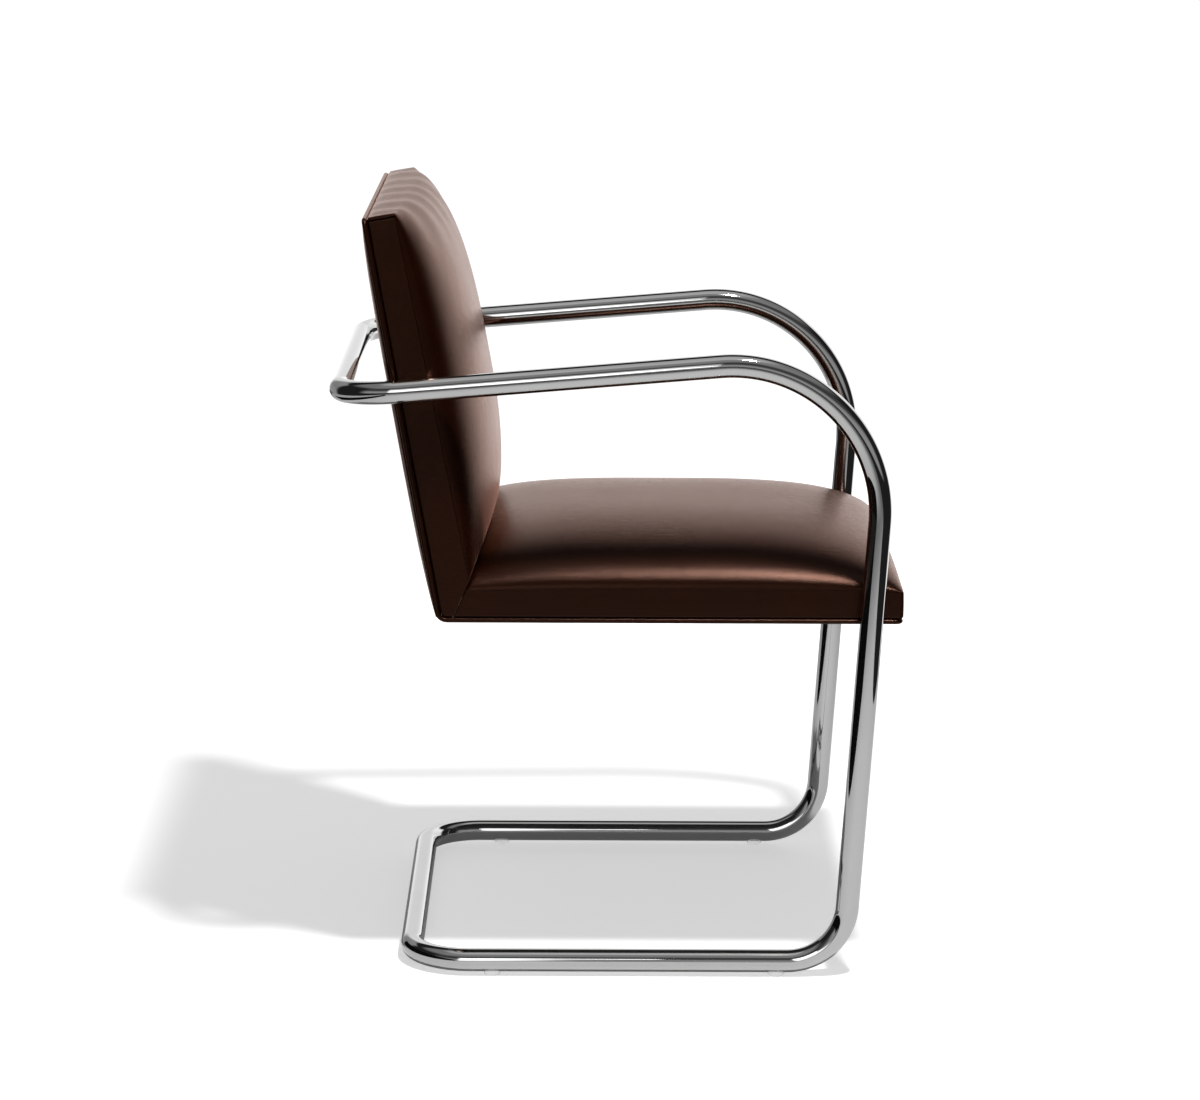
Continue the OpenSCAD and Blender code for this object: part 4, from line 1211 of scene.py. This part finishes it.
def studio_card():
    """A low black card behind the chair, which only the chrome sees: it draws dark edges."""
    mesh = bpy.data.meshes.new("studio_flag")
    mesh.from_pydata([(x, CARD_Y, z) for x, z in CARD_CORNERS], [], [(0, 1, 2, 3)])
    obj = show("studio_flag", mesh)
    obj.visible_camera = obj.visible_diffuse = obj.visible_shadow = False
    f = Finish("studio_flag")
    pile = f.noise(f.places(), 400, 2, 0.5)
    mesh.materials.append(f.shade(Base_Color=f.mix(pile, (0.004, 0.004, 0.004), (0.01, 0.01, 0.01)),
                                  Roughness=1.0, Specular_IOR_Level=0.0))


def studio_room():
    """A plain room round the table: a bright sweep on the far side that is brightest towards the
    front, a soft ceiling, and on the near side a glow low down and a soft box behind the chair.
    Each band is a smooth step of the direction's height, or of its turn from the far side or from
    the front. The camera sees plain white, and matt surfaces get half the light."""
    scene = bpy.context.scene
    scene.world = bpy.data.worlds.new("studio")
    scene.world.use_nodes = True
    f = Finish("studio", scene.world.node_tree)
    x, y, z = f.axes(f.node("ShaderNodeTexCoord").outputs["Generated"])
    flat = (x * x + y * y + 0.0001) ** 0.5
    far, ahead = x / flat, -1.0 * y / flat
    near = far.between(-0.6, -0.3, 1.0, 0.0)
    low = z.between(0.55, 0.62, 1.0, 0.0) * z.between(0.02, 0.18, 1.0, 0.80) \
        * z.between(0.25, 0.55, 1.0, 1.25)
    turned = ahead.between(-0.45, -0.24, 0.3, 1.0) * ahead.between(0.12, 0.36, 1.18, 1.42)
    sweep = far.between(0.46, 0.64) * low * turned
    ceiling = (z.between(0.60, 0.80) * 0.25 + z.between(0.90, 0.97) * 0.33) \
        * x.between(0.28, 0.46, 1.0, 0.0)
    glow = z.between(0.0, 0.04) * z.between(0.20, 0.45, 0.38, 0.05)
    box = ahead.between(-0.40, -0.30) * ahead.between(-0.022, 0.002, 1.0, 0.0) \
        * z.between(0.04, 0.09) * z.between(0.35, 0.6, 1.0, 0.0) * 1.5
    light = 0.02 + sweep + ceiling + near * (glow + box)
    path = f.node("ShaderNodeLightPath")
    seen, spread = f.wire(path, "Is Camera Ray"), f.wire(path, "Is Diffuse Ray")
    strength = light * (1.0 - spread * 0.5) * (1.0 - seen) + seen * 1.1
    back = f.node("ShaderNodeBackground", None, {"Color": (1.0, 1.0, 1.0), "Strength": strength})
    f.node("ShaderNodeOutputWorld", None, {"Surface": back.outputs["Background"]})
    scene.view_settings.view_transform = "Standard"
    scene.view_settings.look = "None"


def studio_camera():
    """The photograph's camera: a long lens from the sitter's right, a little above."""
    data = bpy.data.cameras.new("camera")
    data.sensor_fit, data.sensor_width, data.lens = "HORIZONTAL", 36.0, LENS
    data.clip_start, data.clip_end = 0.1, 100
    obj = show("camera", data)
    right, up, ahead = (Vector(v) for v in CAMERA_AXES)
    turn = Matrix((right, up, -ahead)).transposed().to_4x4()
    obj.matrix_world = Matrix.Translation(CAMERA_SPOT) @ turn
    bpy.context.scene.camera = obj


class CHAIR_OT_studio(bpy.types.Operator):
    """Sets up the pale floor, the soft light and the camera"""
    bl_idname = "chair.studio"
    bl_label = "Studio"

    def execute(self, context):
        studio_floor()
        studio_card()
        studio_room()
        lamp("key_light", 80, (0.20, 0.20), (-0.94, -0.52, 3.00), (0.0, 0.0, 0.3))
        lamp("strip_light", 3.0, (1.25, 0.22), (-3.35, 0.50, 1.47), (0.0, 0.3, 0.5))
        studio_camera()
        return {"FINISHED"}


OPERATORS = (CHAIR_OT_tube_loop, CHAIR_OT_seat_cushion, CHAIR_OT_back_cushion, CHAIR_OT_side_panels,
             CHAIR_OT_welt, CHAIR_OT_outer_back, CHAIR_OT_fittings, CHAIR_OT_studio)
GROUPS = {"chair_tube": TubeSizes, "chair_upholstery": UpholsterySizes,
          "chair_colours": ChairColours}


class CHAIR_PT_panel(bpy.types.Panel):
    """Lists the chair's sizes, colours and pieces"""
    bl_idname = "CHAIR_PT_panel"
    bl_label = "Cantilever Lounge Chair"
    bl_space_type = "VIEW_3D"
    bl_region_type = "UI"
    bl_category = "Chair"

    def draw(self, context):
        for key, title in zip(GROUPS, ("Tube", "Upholstery", "Colours")):
            box = self.layout.box()
            box.label(text=title)
            for name in GROUPS[key].__annotations__:
                box.prop(getattr(context.scene, key), name)
        for operator in OPERATORS:
            self.layout.operator(operator.bl_idname)


CLASSES = (*GROUPS.values(), *OPERATORS, CHAIR_PT_panel)


def register():
    for kind in CLASSES:
        bpy.utils.register_class(kind)
    for key, group in GROUPS.items():
        setattr(bpy.types.Scene, key, bpy.props.PointerProperty(type=group))


def unregister():
    for key in GROUPS:
        delattr(bpy.types.Scene, key)
    for kind in reversed(CLASSES):
        bpy.utils.unregister_class(kind)


def main():
    register()
    for operator in OPERATORS:
        group, name = operator.bl_idname.split(".")
        getattr(getattr(bpy.ops, group), name)()


if __name__ == "__main__":
    main()
